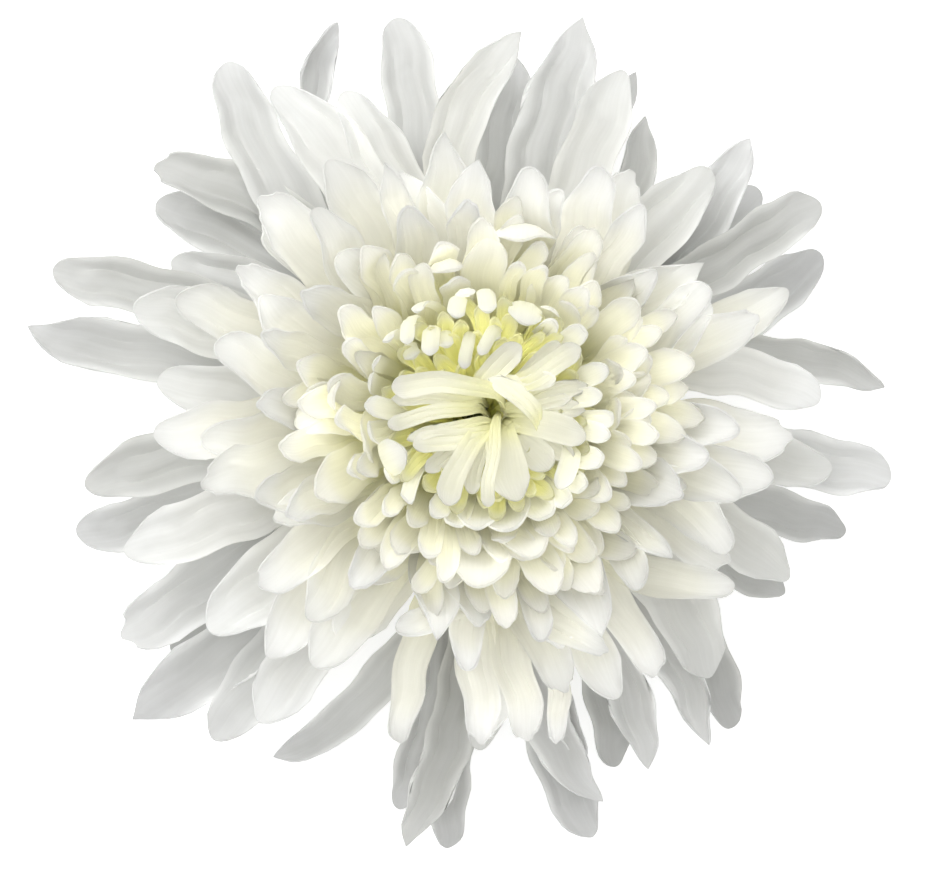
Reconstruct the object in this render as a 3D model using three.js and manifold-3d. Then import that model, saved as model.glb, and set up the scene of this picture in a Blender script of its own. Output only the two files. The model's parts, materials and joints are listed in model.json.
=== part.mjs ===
// A white decorative chrysanthemum head, as picked: cut just under the bloom and laid face up, so that it
// rests on the flat cut face of its stem stub and on the tips of its lowest florets.
// Millimetres and degrees, +Z up, origin at the middle of the cut face. Azimuths turn from +X towards +Y.
//
// Every floret follows one rule: a root on the domed receptacle, a cubic curve out to its tip, and a thin
// arched blade along that curve. The florets that show are listed one by one, from the outermost (guard)
// florets to those that lie open over the eye. Fillers between and under them are set out by the golden
// angle, as the growing head sets out all of its florets.

import * as THREE from 'three';
import Module from 'manifold-3d';

// ---- Driving dimensions ----

const SEED = 4099;
const GOLDEN_ANGLE = 137.508;
const FILLER_COUNT = 26;

// The domed receptacle that every floret is rooted in.
const RECEPTACLE = { radius: 9, height: 7, base: 13 };

// The highest point of the bloom at a given distance from its axis.
const CROWN = { edge: 58, low: 4, rise: 40.5, fullness: 0.88 };

// Petal thickness at the midrib: the edges run out thin.
const BLADE_THICKNESS = 0.9;
const CENTRE_THICKNESS = 0.8;
const BRACT_THICKNESS = 0.8;

// The length of a floret's rounded tip in its own widths, and the share of its length from which it has
// its full width: each for the oldest, and what age 1 adds.
const TIP_LENGTH = { oldest: 0.9, change: -0.35 };
const WIDEST = { oldest: 0.62, change: 0.3 };

// How far a blade starts inside the core it stands on, as a share of its length, and the lowest height
// that a centre floret starts at, which is above the white ones' core.
const ROOT_SINK = 0.06;
const CENTRE_START = 29;

// Lowest heights that a drooping blade may reach: underside, edges and upper side.
const FLOOR = { under: 0, edge: 0.3, upper: 0.6 };

// A bowl [radius, height] that parts the two kinds of floret: centre florets stay inside it, their midribs
// further than their edges, and white ones outside.
const BOWL = [[6.2, 26.6], [10.5, 30.5], [14, 36], [16.4, 45]];
const BOWL_CLEARANCE = { inside: 0.3, insideMidrib: 0.9, outside: 1.2 };

// Solid cores [radius, height], where the florets stand too close to be told apart. The ray core is a cup
// round the bowl and the centre core fills the bottom of the bowl.
const RAY_CORE = [
  [0, 11.8],
  [12, 11.8],
  [16.5, 15.5],
  [19, 20],
  [20, 26],
  [18, 31],
  [14, 34.5],
  [11.1, 30.4],
  [6.7, 26.4],
  [0, 26.4],
];
const CENTRE_CORE = [[0, 26.9], [5.9, 26.9], [10.1, 30.6], [12.6, 34.5], [12.2, 36.8], [7, 37.5], [0, 35]];
const CORE_SIDES = 18;

// Guard florets by level, from the lowest up: how high the root sits on the dome (0 rim, 1 top),
// the angle it leaves at, the height of the tip, and the angle the tip arrives at.
const LEVELS = [
  { climb: -0.12, launch: 2, tipHeight: 0.8, arrive: -14 },
  { climb: 0.0, launch: 12, tipHeight: 6.5, arrive: -8 },
  { climb: 0.1, launch: 22, tipHeight: 12.5, arrive: -4 },
  { climb: 0.16, launch: 29, tipHeight: 18, arrive: 2 },
];

// One guard floret a row: tip azimuth, reach, sideways lean of the tip, width, level, roll, and the
// half-angle that its tip is cupped to (0 leaves it to the draw, over 60 is folded lengthwise).
const GUARD_FLORETS = [
  [353, 55, 1, 7.8, 1, 0, 0],
  [6.6, 54.5, -26, 6.4, 0, 25, 70],
  [3.5, 44.5, -36, 6.6, 3, -8, 0],
  [353, 46.5, 2, 7.6, 2, 0, 0],
  [27.5, 51.7, 20, 9, 0, 0, 0],
  [32, 55, -8, 7.6, 1, 10, 50],
  [44.5, 52.8, 12, 8, 1, -10, 45],
  [39, 49.6, 0, 7.4, 0, 0, 0],
  [48, 45, 8, 9.2, 2, 0, 0],
  [61, 46.8, 30, 5.8, 1, 20, 60],
  [65, 51.8, -5, 6.2, 0, 30, 65],
  [68, 50, 6, 8, 2, 0, 0],
  [75.9, 55.9, -2, 9.8, 1, 0, 0],
  [83, 51.4, -40, 7.8, 2, 12, 60],
  [84, 49, -4, 7.4, 0, 0, 0],
  [101, 54, 7, 8.2, 1, 0, 50],
  [109, 57, -48, 5.6, 0, 20, 60],
  [112, 45.3, 8, 8.4, 2, 0, 0],
  [122, 50, 12, 10, 2, 0, 0],
  [125, 57, -22, 8.6, 1, 0, 48],
  [141, 53.4, 28, 8.2, 1, 8, 0],
  [146, 50.3, 14, 8.6, 0, 0, 0],
  [152, 44.5, 6, 8, 1, 0, 0],
  [160.5, 58, 11, 7.6, 1, -8, 50],
  [166.5, 58.6, -9, 8.2, 0, 0, 45],
  [164, 46.5, 7, 9.4, 3, 0, 0],
  [175, 41, 8, 8.8, 3, 0, 0],
  [188, 50.4, 9, 8.6, 1, 0, 0],
  [194.6, 52.9, -2, 7.2, 0, 0, 0],
  [200, 48, -8, 8.8, 2, 0, 0],
  [210, 53, -9, 9, 1, 0, 0],
  [216, 49, -4, 6.6, 0, 0, 0],
  [221.4, 58.6, 0, 10, 0, 0, 0],
  [229.5, 53, 3, 8.4, 1, 10, 0],
  [235, 47.6, 1, 8.4, 2, 0, 0],
  [217, 43.5, -10, 10, 3, 0, 0],
  [240.3, 50.6, -44, 5.8, 0, 10, 50],
  [259.5, 50.5, -1, 5.4, 0, 20, 0],
  [261, 55.4, -17, 6.6, 1, 0, 50],
  [268, 55, 0, 5.8, 0, 0, 0],
  [270, 42, -3, 5, 2, 0, 0],
  [286, 55.7, 6, 7, 0, 0, 0],
  [289, 51.7, 26, 7, 1, 25, 55],
  [288, 46.5, 4, 4.4, 1, 0, 50],
  [293, 48, -12, 6.4, 0, 0, 0],
  [297, 50, -14, 6.6, 1, 0, 45],
  [307, 51.2, -24, 6.6, 1, 25, 66],
  [312, 52.4, -26, 6.8, 0, 0, 0],
  [313, 45, -16, 9.6, 2, 0, 0],
  [333, 46.5, 8, 6.4, 0, 0, 0],
  [334.5, 45.4, -20, 7.6, 2, 0, 0],
  [346, 51.7, 3, 7, 0, 0, 0],
];

// One body floret a row: tip azimuth, reach, lean, width, the angle that the tip arrives at (over 90 it
// bends inwards), and the half-angles of its cup and of its folded tip (0 where it isn't folded).
const BODY_FLORETS = [
  [2, 21, 0, 3, 34, 40, 0],
  [0, 32.5, 0, 8.2, 22, 74, 0],
  [11, 18.6, 2, 3.7, 40, 40, 0],
  [13, 27, 4, 4.9, 30, 40, 0],
  [19, 21.5, 0, 4, 38, 44, 0],
  [24, 32.5, -4, 7.8, 22, 66, 0],
  [19, 37.5, -4, 7.6, 14, 58, 0],
  [22.5, 42, 4, 6, 0, 40, 0],
  [37, 23.5, 0, 4.3, 36, 42, 0],
  [36, 34, -3, 7.4, 14, 44, 0],
  [42, 28, 4, 5.6, 26, 40, 0],
  [51, 20, 0, 3.8, 44, 40, 0],
  [53, 33, 6, 5.4, 16, 44, 0],
  [58, 26.5, 0, 5, 30, 40, 0],
  [64, 35, 4, 7, 12, 36, 0],
  [68, 19.2, 0, 3.1, 70, 40, 0],
  [75, 31.5, 0, 7.6, 20, 44, 0],
  [78, 22, 0, 8.2, 128, 28, 0],
  [80, 18.8, 0, 2.6, 75, 44, 0],
  [88, 31.5, -22, 7, 30, 34, 0],
  [92, 24, 0, 4.6, 40, 40, 0],
  [97, 27.5, 0, 5, 44, 40, 0],
  [99, 36, 2, 7.4, 12, 40, 0],
  [106, 22, 0, 4.3, 70, 40, 0],
  [107, 18.4, 0, 4.3, 118, 36, 0],
  [112, 34, -6, 5, 20, 40, 55],
  [114, 28, 0, 6, 40, 38, 0],
  [121, 38, 0, 8, 8, 38, 0],
  [122, 20.5, 0, 4, 70, 38, 0],
  [128, 26, 4, 4.9, 44, 40, 0],
  [134, 33, 0, 7, 18, 38, 0],
  [136, 39.5, 4, 7.8, 8, 40, 0],
  [138, 19, 0, 3.5, 60, 38, 0],
  [148, 22.5, 0, 4.2, 46, 36, 0],
  [144, 28, 0, 6, 34, 38, 0],
  [150, 36, 0, 7, 12, 38, 0],
  [157, 19.5, 0, 3.7, 56, 38, 0],
  [160, 30.5, 0, 5.4, 30, 40, 0],
  [160, 41.5, 0, 7.4, 6, 36, 0],
  [166, 24.5, 0, 4.5, 60, 32, 0],
  [170, 35, 0, 7.6, 10, 36, 0],
  [174, 20, 0, 4, 84, 34, 0],
  [177, 29, 0, 6, 26, 38, 0],
  [178, 23.8, 0, 4.4, 42, 36, 0],
  [186, 19.2, 0, 4, 62, 34, 0],
  [184, 41.5, 0, 8, 6, 38, 0],
  [189, 26.5, 0, 5, 28, 34, 0],
  [195, 37, 4, 8, 10, 38, 0],
  [199, 32, 0, 6, 28, 40, 0],
  [204, 24.2, 0, 6.6, 46, 30, 0],
  [205, 19.4, 0, 3.5, 60, 40, 0],
  [211, 29, 0, 6, 30, 42, 0],
  [215, 36, 0, 7, 12, 40, 0],
  [220, 22, 0, 4, 44, 42, 0],
  [226, 41, 6, 8.4, 6, 46, 0],
  [228, 34.5, 0, 7, 18, 46, 0],
  [225, 18.8, 0, 3, 50, 40, 0],
  [235, 38.5, -4, 8.4, 8, 46, 0],
  [234, 28, 2, 6, 22, 40, 0],
  [238, 23.6, 6, 4.3, 30, 40, 0],
  [246, 20.5, 0, 3.3, 44, 44, 0],
  [250, 30.5, -40, 4.8, 8, 40, 0],
  [256, 29.5, 6, 6.8, 14, 38, 0],
  [258, 42.5, 4, 4.8, -6, 48, 0],
  [254, 22, 0, 3.3, 26, 44, 0],
  [265, 22.6, -2, 9, 30, 34, 0],
  [265, 33, 2, 5, 8, 44, 0],
  [267.5, 41.5, 0, 6, -2, 44, 58],
  [276, 27, 4, 4.3, 16, 46, 0],
  [277, 41.5, 3, 5.4, -6, 46, 0],
  [285.5, 37, 14, 6.4, 6, 46, 60],
  [284, 30, 2, 4.2, 8, 50, 0],
  [283, 42, -15, 3.4, -8, 44, 50],
  [286, 19.4, 2, 7.4, 52, 34, 0],
  [299, 32, -8, 8.6, 12, 46, 0],
  [290, 24.5, 0, 5.2, 26, 40, 0],
  [293, 39.6, -2, 6, 0, 46, 0],
  [301, 27, 0, 5.4, 20, 40, 0],
  [297, 33.8, 46, 5, 2, 52, 0],
  [303, 39.5, -10, 6, 0, 40, 55],
  [303, 20, -4, 3.5, 40, 44, 0],
  [309, 29.5, -16, 4.4, 16, 48, 0],
  [316, 22.5, -10, 3.8, 38, 44, 0],
  [321, 30, -12, 4.2, 18, 52, 0],
  [324, 19, -6, 3.8, 46, 40, 0],
  [325, 38.5, 30, 5.6, 4, 46, 0],
  [331, 35.5, -26, 7.6, 14, 42, 0],
  [336, 27.5, -6, 8, 26, 40, 0],
  [340, 20.5, 0, 3.5, 38, 44, 0],
  [341, 34, 0, 7, 14, 44, 0],
  [349, 37.5, 2, 8.2, 10, 42, 0],
  [350, 29, 4, 6, 24, 42, 0],
  [352, 21.5, 0, 3.5, 34, 44, 0],
];

// One floret of the eye's rim a row: tip azimuth, reach, lean, width, tip height, arrival angle and cup.
const RIM_FLORETS = [
  [8, 14, 4, 2.8, 42.4, 24, 40],
  [18, 15.8, 0, 3, 42.3, 30, 40],
  [42, 15.6, 4, 3, 42.4, 36, 40],
  [54, 13.4, 0, 2.8, 42.6, 60, 40],
  [179, 15.6, 0, 2.8, 42.8, 20, 30],
  [192, 16, 0, 3.2, 41.4, 50, 40],
  [214, 15.9, 0, 3, 41.4, 50, 38],
  [229.5, 16, 20, 2, 42.2, 10, 40],
  [241, 15.4, -4, 3, 41.2, 30, 40],
  [253, 15.6, 0, 4, 41.2, 56, 40],
  [267, 15.2, 0, 6, 42.2, 68, 28],
  [284, 15.3, 4, 6.4, 42.2, 64, 28],
  [299, 15.7, 0, 4.4, 41.8, 50, 40],
  [311, 15.9, 0, 3.6, 41.6, 40, 44],
  [321, 15.8, 0, 3.2, 42.4, 44, 40],
  [335, 15.7, 4, 3.4, 42.2, 32, 40],
  [346, 15.4, -4, 2.8, 42.2, 28, 40],
  [357, 15.9, 0, 2.8, 42.3, 30, 40],
];

// The youngest florets, one a row: root azimuth and radius, tip azimuth, reach, lean, width, tip height
// and arrival angle. The first bend inwards over the eye, and the others lie open over it.
const INCURVED_FLORETS = [
  [58, 3.3, 58, 14.4, 0, 2.8, 42.6, 100],
  [72, 3.3, 69.2, 11, 4, 4.4, 43.6, 150],
  [88, 3.3, 86, 8.2, 0, 2, 42, 140],
  [90, 3.3, 91, 11.6, 0, 2.4, 43.9, 152],
  [80, 3.3, 100.5, 6.6, -35, 1.8, 43.5, 168],
  [108, 3.3, 111, 11.7, -30, 2.3, 43.8, 152],
  [104, 3.3, 124.5, 5.8, -43, 1.7, 43.5, 174],
  [100, 3.3, 101, 14.2, 0, 2.6, 43, 125],
  [118, 3.3, 127.5, 14.8, -50, 1.9, 43.4, 150],
  [128, 3.3, 140, 9.7, -50, 2.3, 43.4, 164],
  [120, 3.3, 124, 9, -20, 2, 42, 140],
  [134, 3.3, 142.8, 12.9, -52, 1.9, 43.5, 160],
  [140, 3.3, 146, 11, -30, 2.2, 41.8, 130],
  [150, 3.3, 147.5, 15, -40, 2.2, 42.9, 150],
  [158, 3.3, 158, 14.8, -16, 2.6, 42.3, 115],
  [168, 3.3, 168, 15, 0, 2.8, 42, 100],
  [204, 3.3, 207, 11.7, 0, 4.9, 43.4, 150],
  [335, 3.3, 311, 13.4, -66, 2.7, 43.1, 8],
];
const EYE_FLORETS = [
  [358, 3.4, 168, 12.6, 17, 3, 42.9, 0],
  [60, 1.2, 175.6, 12.3, 6, 2.4, 42, 4],
  [340, 0.8, 188.4, 12.6, 2.6, 2.1, 42.3, 3],
  [318, 2.2, 200.4, 11, -8.5, 1.5, 41.8, 3],
  [306, 3.6, 207.5, 10.8, -18, 2.8, 41.9, 4],
  [326, 3.4, 243.4, 13.3, 8, 3.2, 42.1, 6],
  [236, 1.4, 228, 11, 4, 2.2, 40.6, 4],
  [340, 1.6, 261, 10.8, 2, 2.1, 41, 6],
  [10, 1.8, 268.6, 12.4, -5, 1.8, 42.5, 3],
  [340, 3, 286.5, 12, 2, 5.4, 42, 12],
  [315, 2, 313, 10.9, 0, 3.6, 41.1, 16],
  [325, 2, 327, 12.2, 0, 2.8, 40.9, 16],
  [335, 3, 348.5, 12.4, 6, 4, 41.4, 8],
  [352, 2, 358, 12.2, 0, 2.4, 41, 8],
  [20, 2, 9, 10.4, 4, 2, 40.9, 6],
  [80, 3.6, 31.5, 13.6, 4, 3, 42.6, 10],
  [90, 3.2, 25, 9, -14, 2.2, 42, 4],
  [20, 2.6, 17, 12.6, 0, 2.4, 41.4, 12],
  [58, 3, 44, 12, 0, 2.4, 41.2, 18],
  [136, 3.8, 65, 8.9, -20, 3.2, 42.2, 6],
  [326, 6.4, 96, 3.4, 56, 2.7, 42.8, 0],
];

// How the two kinds of youngest floret leave the receptacle, how long they keep that direction as a share
// of their span, and the sections each gets along its length.
const INCURVED_HABIT = { launch: 71, rise: 0.4, sections: 3 };
const EYE_HABIT = { launch: 90, rise: 1.1, sections: 4 };
const EYE_CUP = 28;

// The green cup under the bloom [radius, height] and its rows of bracts, the lowest row first.
const CUP = [[0, 6.2], [3.1, 6.2], [5.6, 7.2], [9, 9.6], [10.4, 10.9], [0, 10.9]];
const BRACT_ROWS = [
  { count: 8, rootRadius: 4, rootHeight: 6.7, reach: 9.8, tipHeight: 8.2, width: 3.4 },
  { count: 10, rootRadius: 6, rootHeight: 7.8, reach: 12, tipHeight: 9.4, width: 3.5 },
  { count: 13, rootRadius: 8, rootHeight: 9.4, reach: 14, tipHeight: 10.4, width: 3.5 },
];

// The ribbed stem stub.
const STEM = { radius: 2.9, groove: 0.3, ribs: 6, top: 5.9 };

// ---- Draws and curves ----

// Park and Miller's generator: exact in whole numbers, so every run grows the same head.
function makeDraw(seed) {
  let state = seed;
  return (low, high) => {
    state = (state * 16807) % 2147483647;
    return low + ((high - low) * state) / 2147483647;
  };
}

const radians = THREE.MathUtils.degToRad;
const smooth = (from, to, x) => THREE.MathUtils.smoothstep(x, from, to);

function crownHeight(reach) {
  return CROWN.low + CROWN.rise * (1 - (reach / CROWN.edge) ** 2) ** CROWN.fullness;
}

function direction(azimuth, elevation) {
  const flat = Math.cos(radians(elevation));
  return new THREE.Vector3(
    flat * Math.cos(radians(azimuth)),
    flat * Math.sin(radians(azimuth)),
    Math.sin(radians(elevation)),
  );
}

function atAge(measure, floret) {
  return measure.oldest + measure.change * floret.age;
}

function rootPoint(floret) {
  const latitude = Math.asin(floret.climb);
  const radius = RECEPTACLE.radius * Math.cos(latitude);
  const height = RECEPTACLE.base + RECEPTACLE.height * Math.sin(latitude);
  return direction(floret.azimuth, 0).multiplyScalar(radius).setZ(height);
}

function centreLine(root, floret) {
  const tip = direction(floret.tipAzimuth, 0).multiplyScalar(floret.reach).setZ(floret.tipHeight);
  const span = root.distanceTo(tip);
  const rise = floret.rise ?? 0.4;
  const leaving = direction(floret.azimuth, floret.launch).multiplyScalar(rise * span);
  const arriving = direction(floret.tipAzimuth + floret.lean, floret.arrive).multiplyScalar(0.42 * span);
  return new THREE.CubicBezierCurve3(root, root.clone().add(leaving), tip.clone().sub(arriving), tip);
}

// ---- The florets, as lists of plain values ----

function guardFlorets(draw) {
  return GUARD_FLORETS.map(([tipAzimuth, reach, lean, width, level, roll, fold]) => {
    const { climb, launch, tipHeight, arrive } = LEVELS[level];
    return {
      azimuth: tipAzimuth - 0.35 * lean,
      tipAzimuth,
      reach,
      lean,
      width,
      climb,
      launch,
      tipHeight: tipHeight + draw(-0.6, 1.6),
      arrive: arrive + draw(-8, 8),
      roll: roll + draw(-8, 8),
      cup: draw(30, 54),
      fold,
      age: 0,
    };
  });
}

function bodyFlorets(draw) {
  return BODY_FLORETS.map(([tipAzimuth, reach, lean, width, arrive, cup, fold]) => {
    const age = THREE.MathUtils.clamp(Math.log(44.5 / reach) / 0.96, 0, 1);
    return {
      azimuth: tipAzimuth - 0.35 * lean,
      tipAzimuth,
      reach,
      lean,
      width,
      climb: 0.2 + 0.62 * age,
      launch: 28 + 40 * age,
      tipHeight: crownHeight(reach) + 0.6 + draw(-0.5, 0.5),
      arrive: arrive + draw(-4, 4),
      roll: draw(-14, 14),
      cup,
      fold,
      age,
    };
  });
}

function fillerFlorets(draw) {
  return Array.from({ length: FILLER_COUNT }, (_, index) => {
    const age = index / (FILLER_COUNT - 1);
    const reach = (40 - 23 * age) * draw(0.95, 1.05);
    const azimuth = GOLDEN_ANGLE * index + draw(-5, 5);
    const lean = draw(-22, 22);
    return {
      azimuth,
      tipAzimuth: azimuth + 0.35 * lean,
      reach,
      lean,
      width: (8.4 - 3.4 * age) * draw(0.88, 1.12),
      climb: 0.18 + 0.6 * age,
      launch: 26 + 38 * age,
      tipHeight: crownHeight(reach) - 3.4 + draw(-0.8, 0.8),
      arrive: 2 + 34 * age + draw(-12, 12),
      roll: draw(-18, 18),
      cup: draw(24, 48),
      fold: 0,
      age,
    };
  });
}

function rimFlorets(draw) {
  return RIM_FLORETS.map(([tipAzimuth, reach, lean, width, tipHeight, arrive, cup]) => ({
    azimuth: tipAzimuth - 0.3 * lean,
    tipAzimuth,
    reach,
    lean,
    width,
    climb: 0.93,
    launch: 80,
    tipHeight,
    arrive: arrive + draw(-5, 5),
    roll: draw(-12, 12),
    cup,
    fold: 0,
    age: 1,
  }));
}

function eyeFlorets(listed, { launch, rise }) {
  return listed.map(([azimuth, rootRadius, tipAzimuth, reach, lean, width, tipHeight, arrive]) => ({
    azimuth,
    tipAzimuth,
    reach,
    lean,
    width,
    climb: Math.sqrt(1 - (rootRadius / RECEPTACLE.radius) ** 2),
    launch,
    rise,
    tipHeight,
    arrive,
    roll: 0,
    cup: EYE_CUP,
    fold: 0,
    age: 1,
    facing: tipAzimuth + lean,
  }));
}

// ---- One blade ----

// The arched cross-section of a blade at a share of its length: both edges, and the upper and
// under side of its midrib.
function bladeRing(line, floret, share, narrowing, thickness, steer) {
  const along = line.getTangent(share);
  const facing = floret.facing ?? floret.azimuth;
  const heading = facing + (floret.tipAzimuth + floret.lean - facing) * share;
  const side = direction(heading + 90, 0);
  side.addScaledVector(along, -side.dot(along)).normalize();
  const roll = radians(floret.roll) * share ** 1.5;
  side.applyAxisAngle(along, roll);
  const up = along.clone().cross(side);

  const width = floret.width * (0.26 + 0.74 * smooth(0.05, atAge(WIDEST, floret), share)) * narrowing;
  const open = floret.cup + (70 - floret.cup) * (1 - smooth(0, 0.5, share));
  const halfArc = radians(floret.fold ? open + (floret.fold - open) * smooth(0.45, 0.9, share) : open);
  const arcRadius = width / 2 / halfArc;
  const spread = arcRadius * Math.sin(halfArc);
  const rise = arcRadius * (1 - Math.cos(halfArc));

  const middle = steer(line.getPoint(share));
  const edge = (sign) => middle.clone().addScaledVector(side, sign * spread).addScaledVector(up, rise);
  return {
    right: edge(-1),
    upper: middle.clone().addScaledVector(up, thickness / 2),
    left: edge(1),
    under: middle.clone().addScaledVector(up, -thickness / 2),
  };
}

// The shares of its length where a blade has a section: evenly up to its shoulder, then the tip.
function stations(start, tipShare, evenCount) {
  const shoulder = 1 - tipShare;
  const even = Array.from({ length: evenCount }, (_, index) => ({
    share: start + ((shoulder - start) * index) / (evenCount - 1),
    narrowing: 1,
  }));
  return [...even, { share: 1 - 0.42 * tipShare, narrowing: 0.8 }];
}

// A closed blade from its sections to one point at the tip. The left and right halves are split alike
// on the upper and the under side.
function bladeMesh(line, floret, start, evenCount, thickness, keepClear, steer = (middle) => middle) {
  const tipLength = atAge(TIP_LENGTH, floret) * floret.width;
  const tipShare = Math.min(0.45, tipLength / line.v0.distanceTo(line.v3));
  const points = [];
  for (const { share, narrowing } of stations(start, tipShare, evenCount)) {
    const ring = bladeRing(line, floret, share, narrowing, thickness, steer);
    points.push(keepClear(ring.right, FLOOR.edge));
    points.push(keepClear(ring.upper, FLOOR.upper));
    points.push(keepClear(ring.left, FLOOR.edge));
    points.push(keepClear(ring.under, FLOOR.under));
  }
  const rings = points.length / 4;
  points.push(keepClear(line.getPoint(1), FLOOR.edge));

  const triangles = [];
  for (let ring = 0; ring < rings - 1; ring += 1) {
    const [right, upper, left, under] = [0, 1, 2, 3].map((corner) => ring * 4 + corner);
    const [nextRight, nextUpper, nextLeft, nextUnder] = [4, 5, 6, 7].map((corner) => ring * 4 + corner);
    triangles.push([upper, right, nextRight], [upper, nextRight, nextUpper]);
    triangles.push([left, upper, nextLeft], [upper, nextUpper, nextLeft]);
    triangles.push([under, left, nextLeft], [under, nextLeft, nextUnder]);
    triangles.push([right, under, nextRight], [under, nextUnder, nextRight]);
  }
  const last = (rings - 1) * 4;
  const tip = rings * 4;
  for (let corner = 0; corner < 4; corner += 1) {
    triangles.push([last + corner, tip, last + ((corner + 1) % 4)]);
  }
  triangles.push([1, 3, 0], [1, 2, 3]);
  return { points, triangles };
}

// ---- Solids ----

const wasm = await Module();
wasm.setup();

function solidOf({ points, triangles }) {
  const vertProperties = new Float32Array(points.flatMap((point) => point.toArray()));
  const triVerts = new Uint32Array(triangles.flat());
  return new wasm.Manifold(new wasm.Mesh({ numProp: 3, vertProperties, triVerts }));
}

// A profile of [radius, height] points, from axis to axis, turned round +Z.
function turned(profile, sides) {
  const points = [];
  const rows = profile.map(([radius, height]) => {
    const first = points.length;
    const count = radius === 0 ? 1 : sides;
    for (let index = 0; index < count; index += 1) {
      points.push(direction((360 * index) / sides, 0).multiplyScalar(radius).setZ(height));
    }
    return { first, count };
  });
  const triangles = [];
  for (let row = 0; row < rows.length - 1; row += 1) {
    for (let index = 0; index < sides; index += 1) {
      const [low, high] = [rows[row], rows[row + 1]];
      const at = (ring, step) => ring.first + (ring.count === 1 ? 0 : (index + step) % sides);
      if (low.count > 1) triangles.push([at(low, 0), at(low, 1), at(high, 0)]);
      if (high.count > 1) triangles.push([at(low, 1), at(high, 1), at(high, 0)]);
    }
  }
  return solidOf({ points, triangles });
}

// Where a centre line leaves a core, as a share of its length.
function leavingShare(line, profile) {
  const inside = (point) => {
    const radius = Math.hypot(point.x, point.y);
    let crossings = 0;
    profile.forEach(([r0, z0], index) => {
      const [r1, z1] = profile[(index + 1) % profile.length];
      const spans = z0 > point.z !== z1 > point.z;
      if (spans && radius < r0 + ((point.z - z0) / (z1 - z0)) * (r1 - r0)) crossings += 1;
    });
    return crossings % 2 === 1;
  };
  const steps = 200;
  for (let step = steps; step > 0; step -= 1) {
    if (inside(line.getPoint(step / steps))) return step / steps;
  }
  return 0;
}

// Where a centre line first rises to a height, as a share of its length.
function shareAtHeight(line, height) {
  const steps = 200;
  for (let step = 0; step < steps; step += 1) {
    if (line.getPoint(step / steps).z >= height) return step / steps;
  }
  return 0;
}

// ---- Keeping the two kinds of floret apart ----

function bowlRadius(height) {
  const upper = BOWL.findIndex(([, rowHeight]) => rowHeight > height);
  const row = upper < 0 ? BOWL.length - 1 : Math.max(upper, 1);
  const [[lowRadius, lowHeight], [highRadius, highHeight]] = [BOWL[row - 1], BOWL[row]];
  return lowRadius + ((height - lowHeight) / (highHeight - lowHeight)) * (highRadius - lowRadius);
}

function moveToRadius(point, radius) {
  const factor = radius / Math.hypot(point.x, point.y);
  return point.set(point.x * factor, point.y * factor, point.z);
}

function keepOutside(point, lowest) {
  point.z = Math.max(point.z, lowest);
  const limit = bowlRadius(point.z) + BOWL_CLEARANCE.outside;
  const strays = point.z > RAY_CORE.at(-1)[1] && Math.hypot(point.x, point.y) < limit;
  return strays ? moveToRadius(point, limit) : point;
}

function within(point, clearance) {
  const limit = bowlRadius(point.z) - clearance;
  return Math.hypot(point.x, point.y) > limit ? moveToRadius(point, limit) : point;
}

const keepInside = (point) => within(point, BOWL_CLEARANCE.inside);
const keepMidribInside = (point) => within(point, BOWL_CLEARANCE.insideMidrib);

// ---- The four pieces ----

function floretSolid(floret, core, lowest, sections, thickness, keepClear, steer) {
  const line = centreLine(rootPoint(floret), floret);
  const start = Math.max(shareAtHeight(line, lowest), leavingShare(line, core) - ROOT_SINK);
  return solidOf(bladeMesh(line, floret, start, sections, thickness, keepClear, steer));
}

function rayFlorets(draw) {
  const grown = (florets, sections) =>
    florets.map((floret) => floretSolid(floret, RAY_CORE, 0, sections, BLADE_THICKNESS, keepOutside));
  return wasm.Manifold.union([
    turned(RAY_CORE, CORE_SIDES),
    ...grown(guardFlorets(draw), 4),
    ...grown(bodyFlorets(draw), 3),
    ...grown(fillerFlorets(draw), 3),
  ]);
}

function centreFlorets(draw) {
  const grown = (florets, sections) =>
    florets.map((floret) =>
      floretSolid(
        floret, CENTRE_CORE, CENTRE_START, sections, CENTRE_THICKNESS, keepInside, keepMidribInside,
      ),
    );
  return wasm.Manifold.union([
    turned(CENTRE_CORE, CORE_SIDES),
    ...grown(rimFlorets(draw), 3),
    ...grown(eyeFlorets(INCURVED_FLORETS, INCURVED_HABIT), INCURVED_HABIT.sections),
    ...grown(eyeFlorets(EYE_FLORETS, EYE_HABIT), EYE_HABIT.sections),
  ]);
}

function bract(row, index, turn) {
  const azimuth = turn + (360 * index) / row.count;
  const root = direction(azimuth, 0).multiplyScalar(row.rootRadius).setZ(row.rootHeight);
  const slope = THREE.MathUtils.radToDeg(
    Math.atan2(row.tipHeight - row.rootHeight, row.reach - row.rootRadius),
  );
  const shape = {
    azimuth,
    tipAzimuth: azimuth,
    reach: row.reach,
    lean: 0,
    width: row.width,
    launch: slope + 12,
    arrive: slope - 8,
    tipHeight: row.tipHeight,
    roll: 0,
    cup: 30,
    fold: 0,
    age: 0,
  };
  const line = centreLine(root, shape);
  return solidOf(bladeMesh(line, shape, 0, 2, BRACT_THICKNESS, (point) => point));
}

function involucre() {
  const bracts = BRACT_ROWS.flatMap((row, rowIndex) =>
    Array.from({ length: row.count }, (_, index) => bract(row, index, rowIndex * 11)),
  );
  return wasm.Manifold.union([turned(CUP, CORE_SIDES), ...bracts]);
}

function stem() {
  const outline = new THREE.Shape();
  const corners = STEM.ribs * 2;
  for (let corner = 0; corner < corners; corner += 1) {
    const radius = corner % 2 === 0 ? STEM.radius : STEM.radius - STEM.groove;
    const angle = (2 * Math.PI * corner) / corners;
    outline[corner === 0 ? 'moveTo' : 'lineTo'](radius * Math.cos(angle), radius * Math.sin(angle));
  }
  outline.closePath();
  return new THREE.ExtrudeGeometry(outline, { depth: STEM.top, bevelEnabled: false });
}

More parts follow.
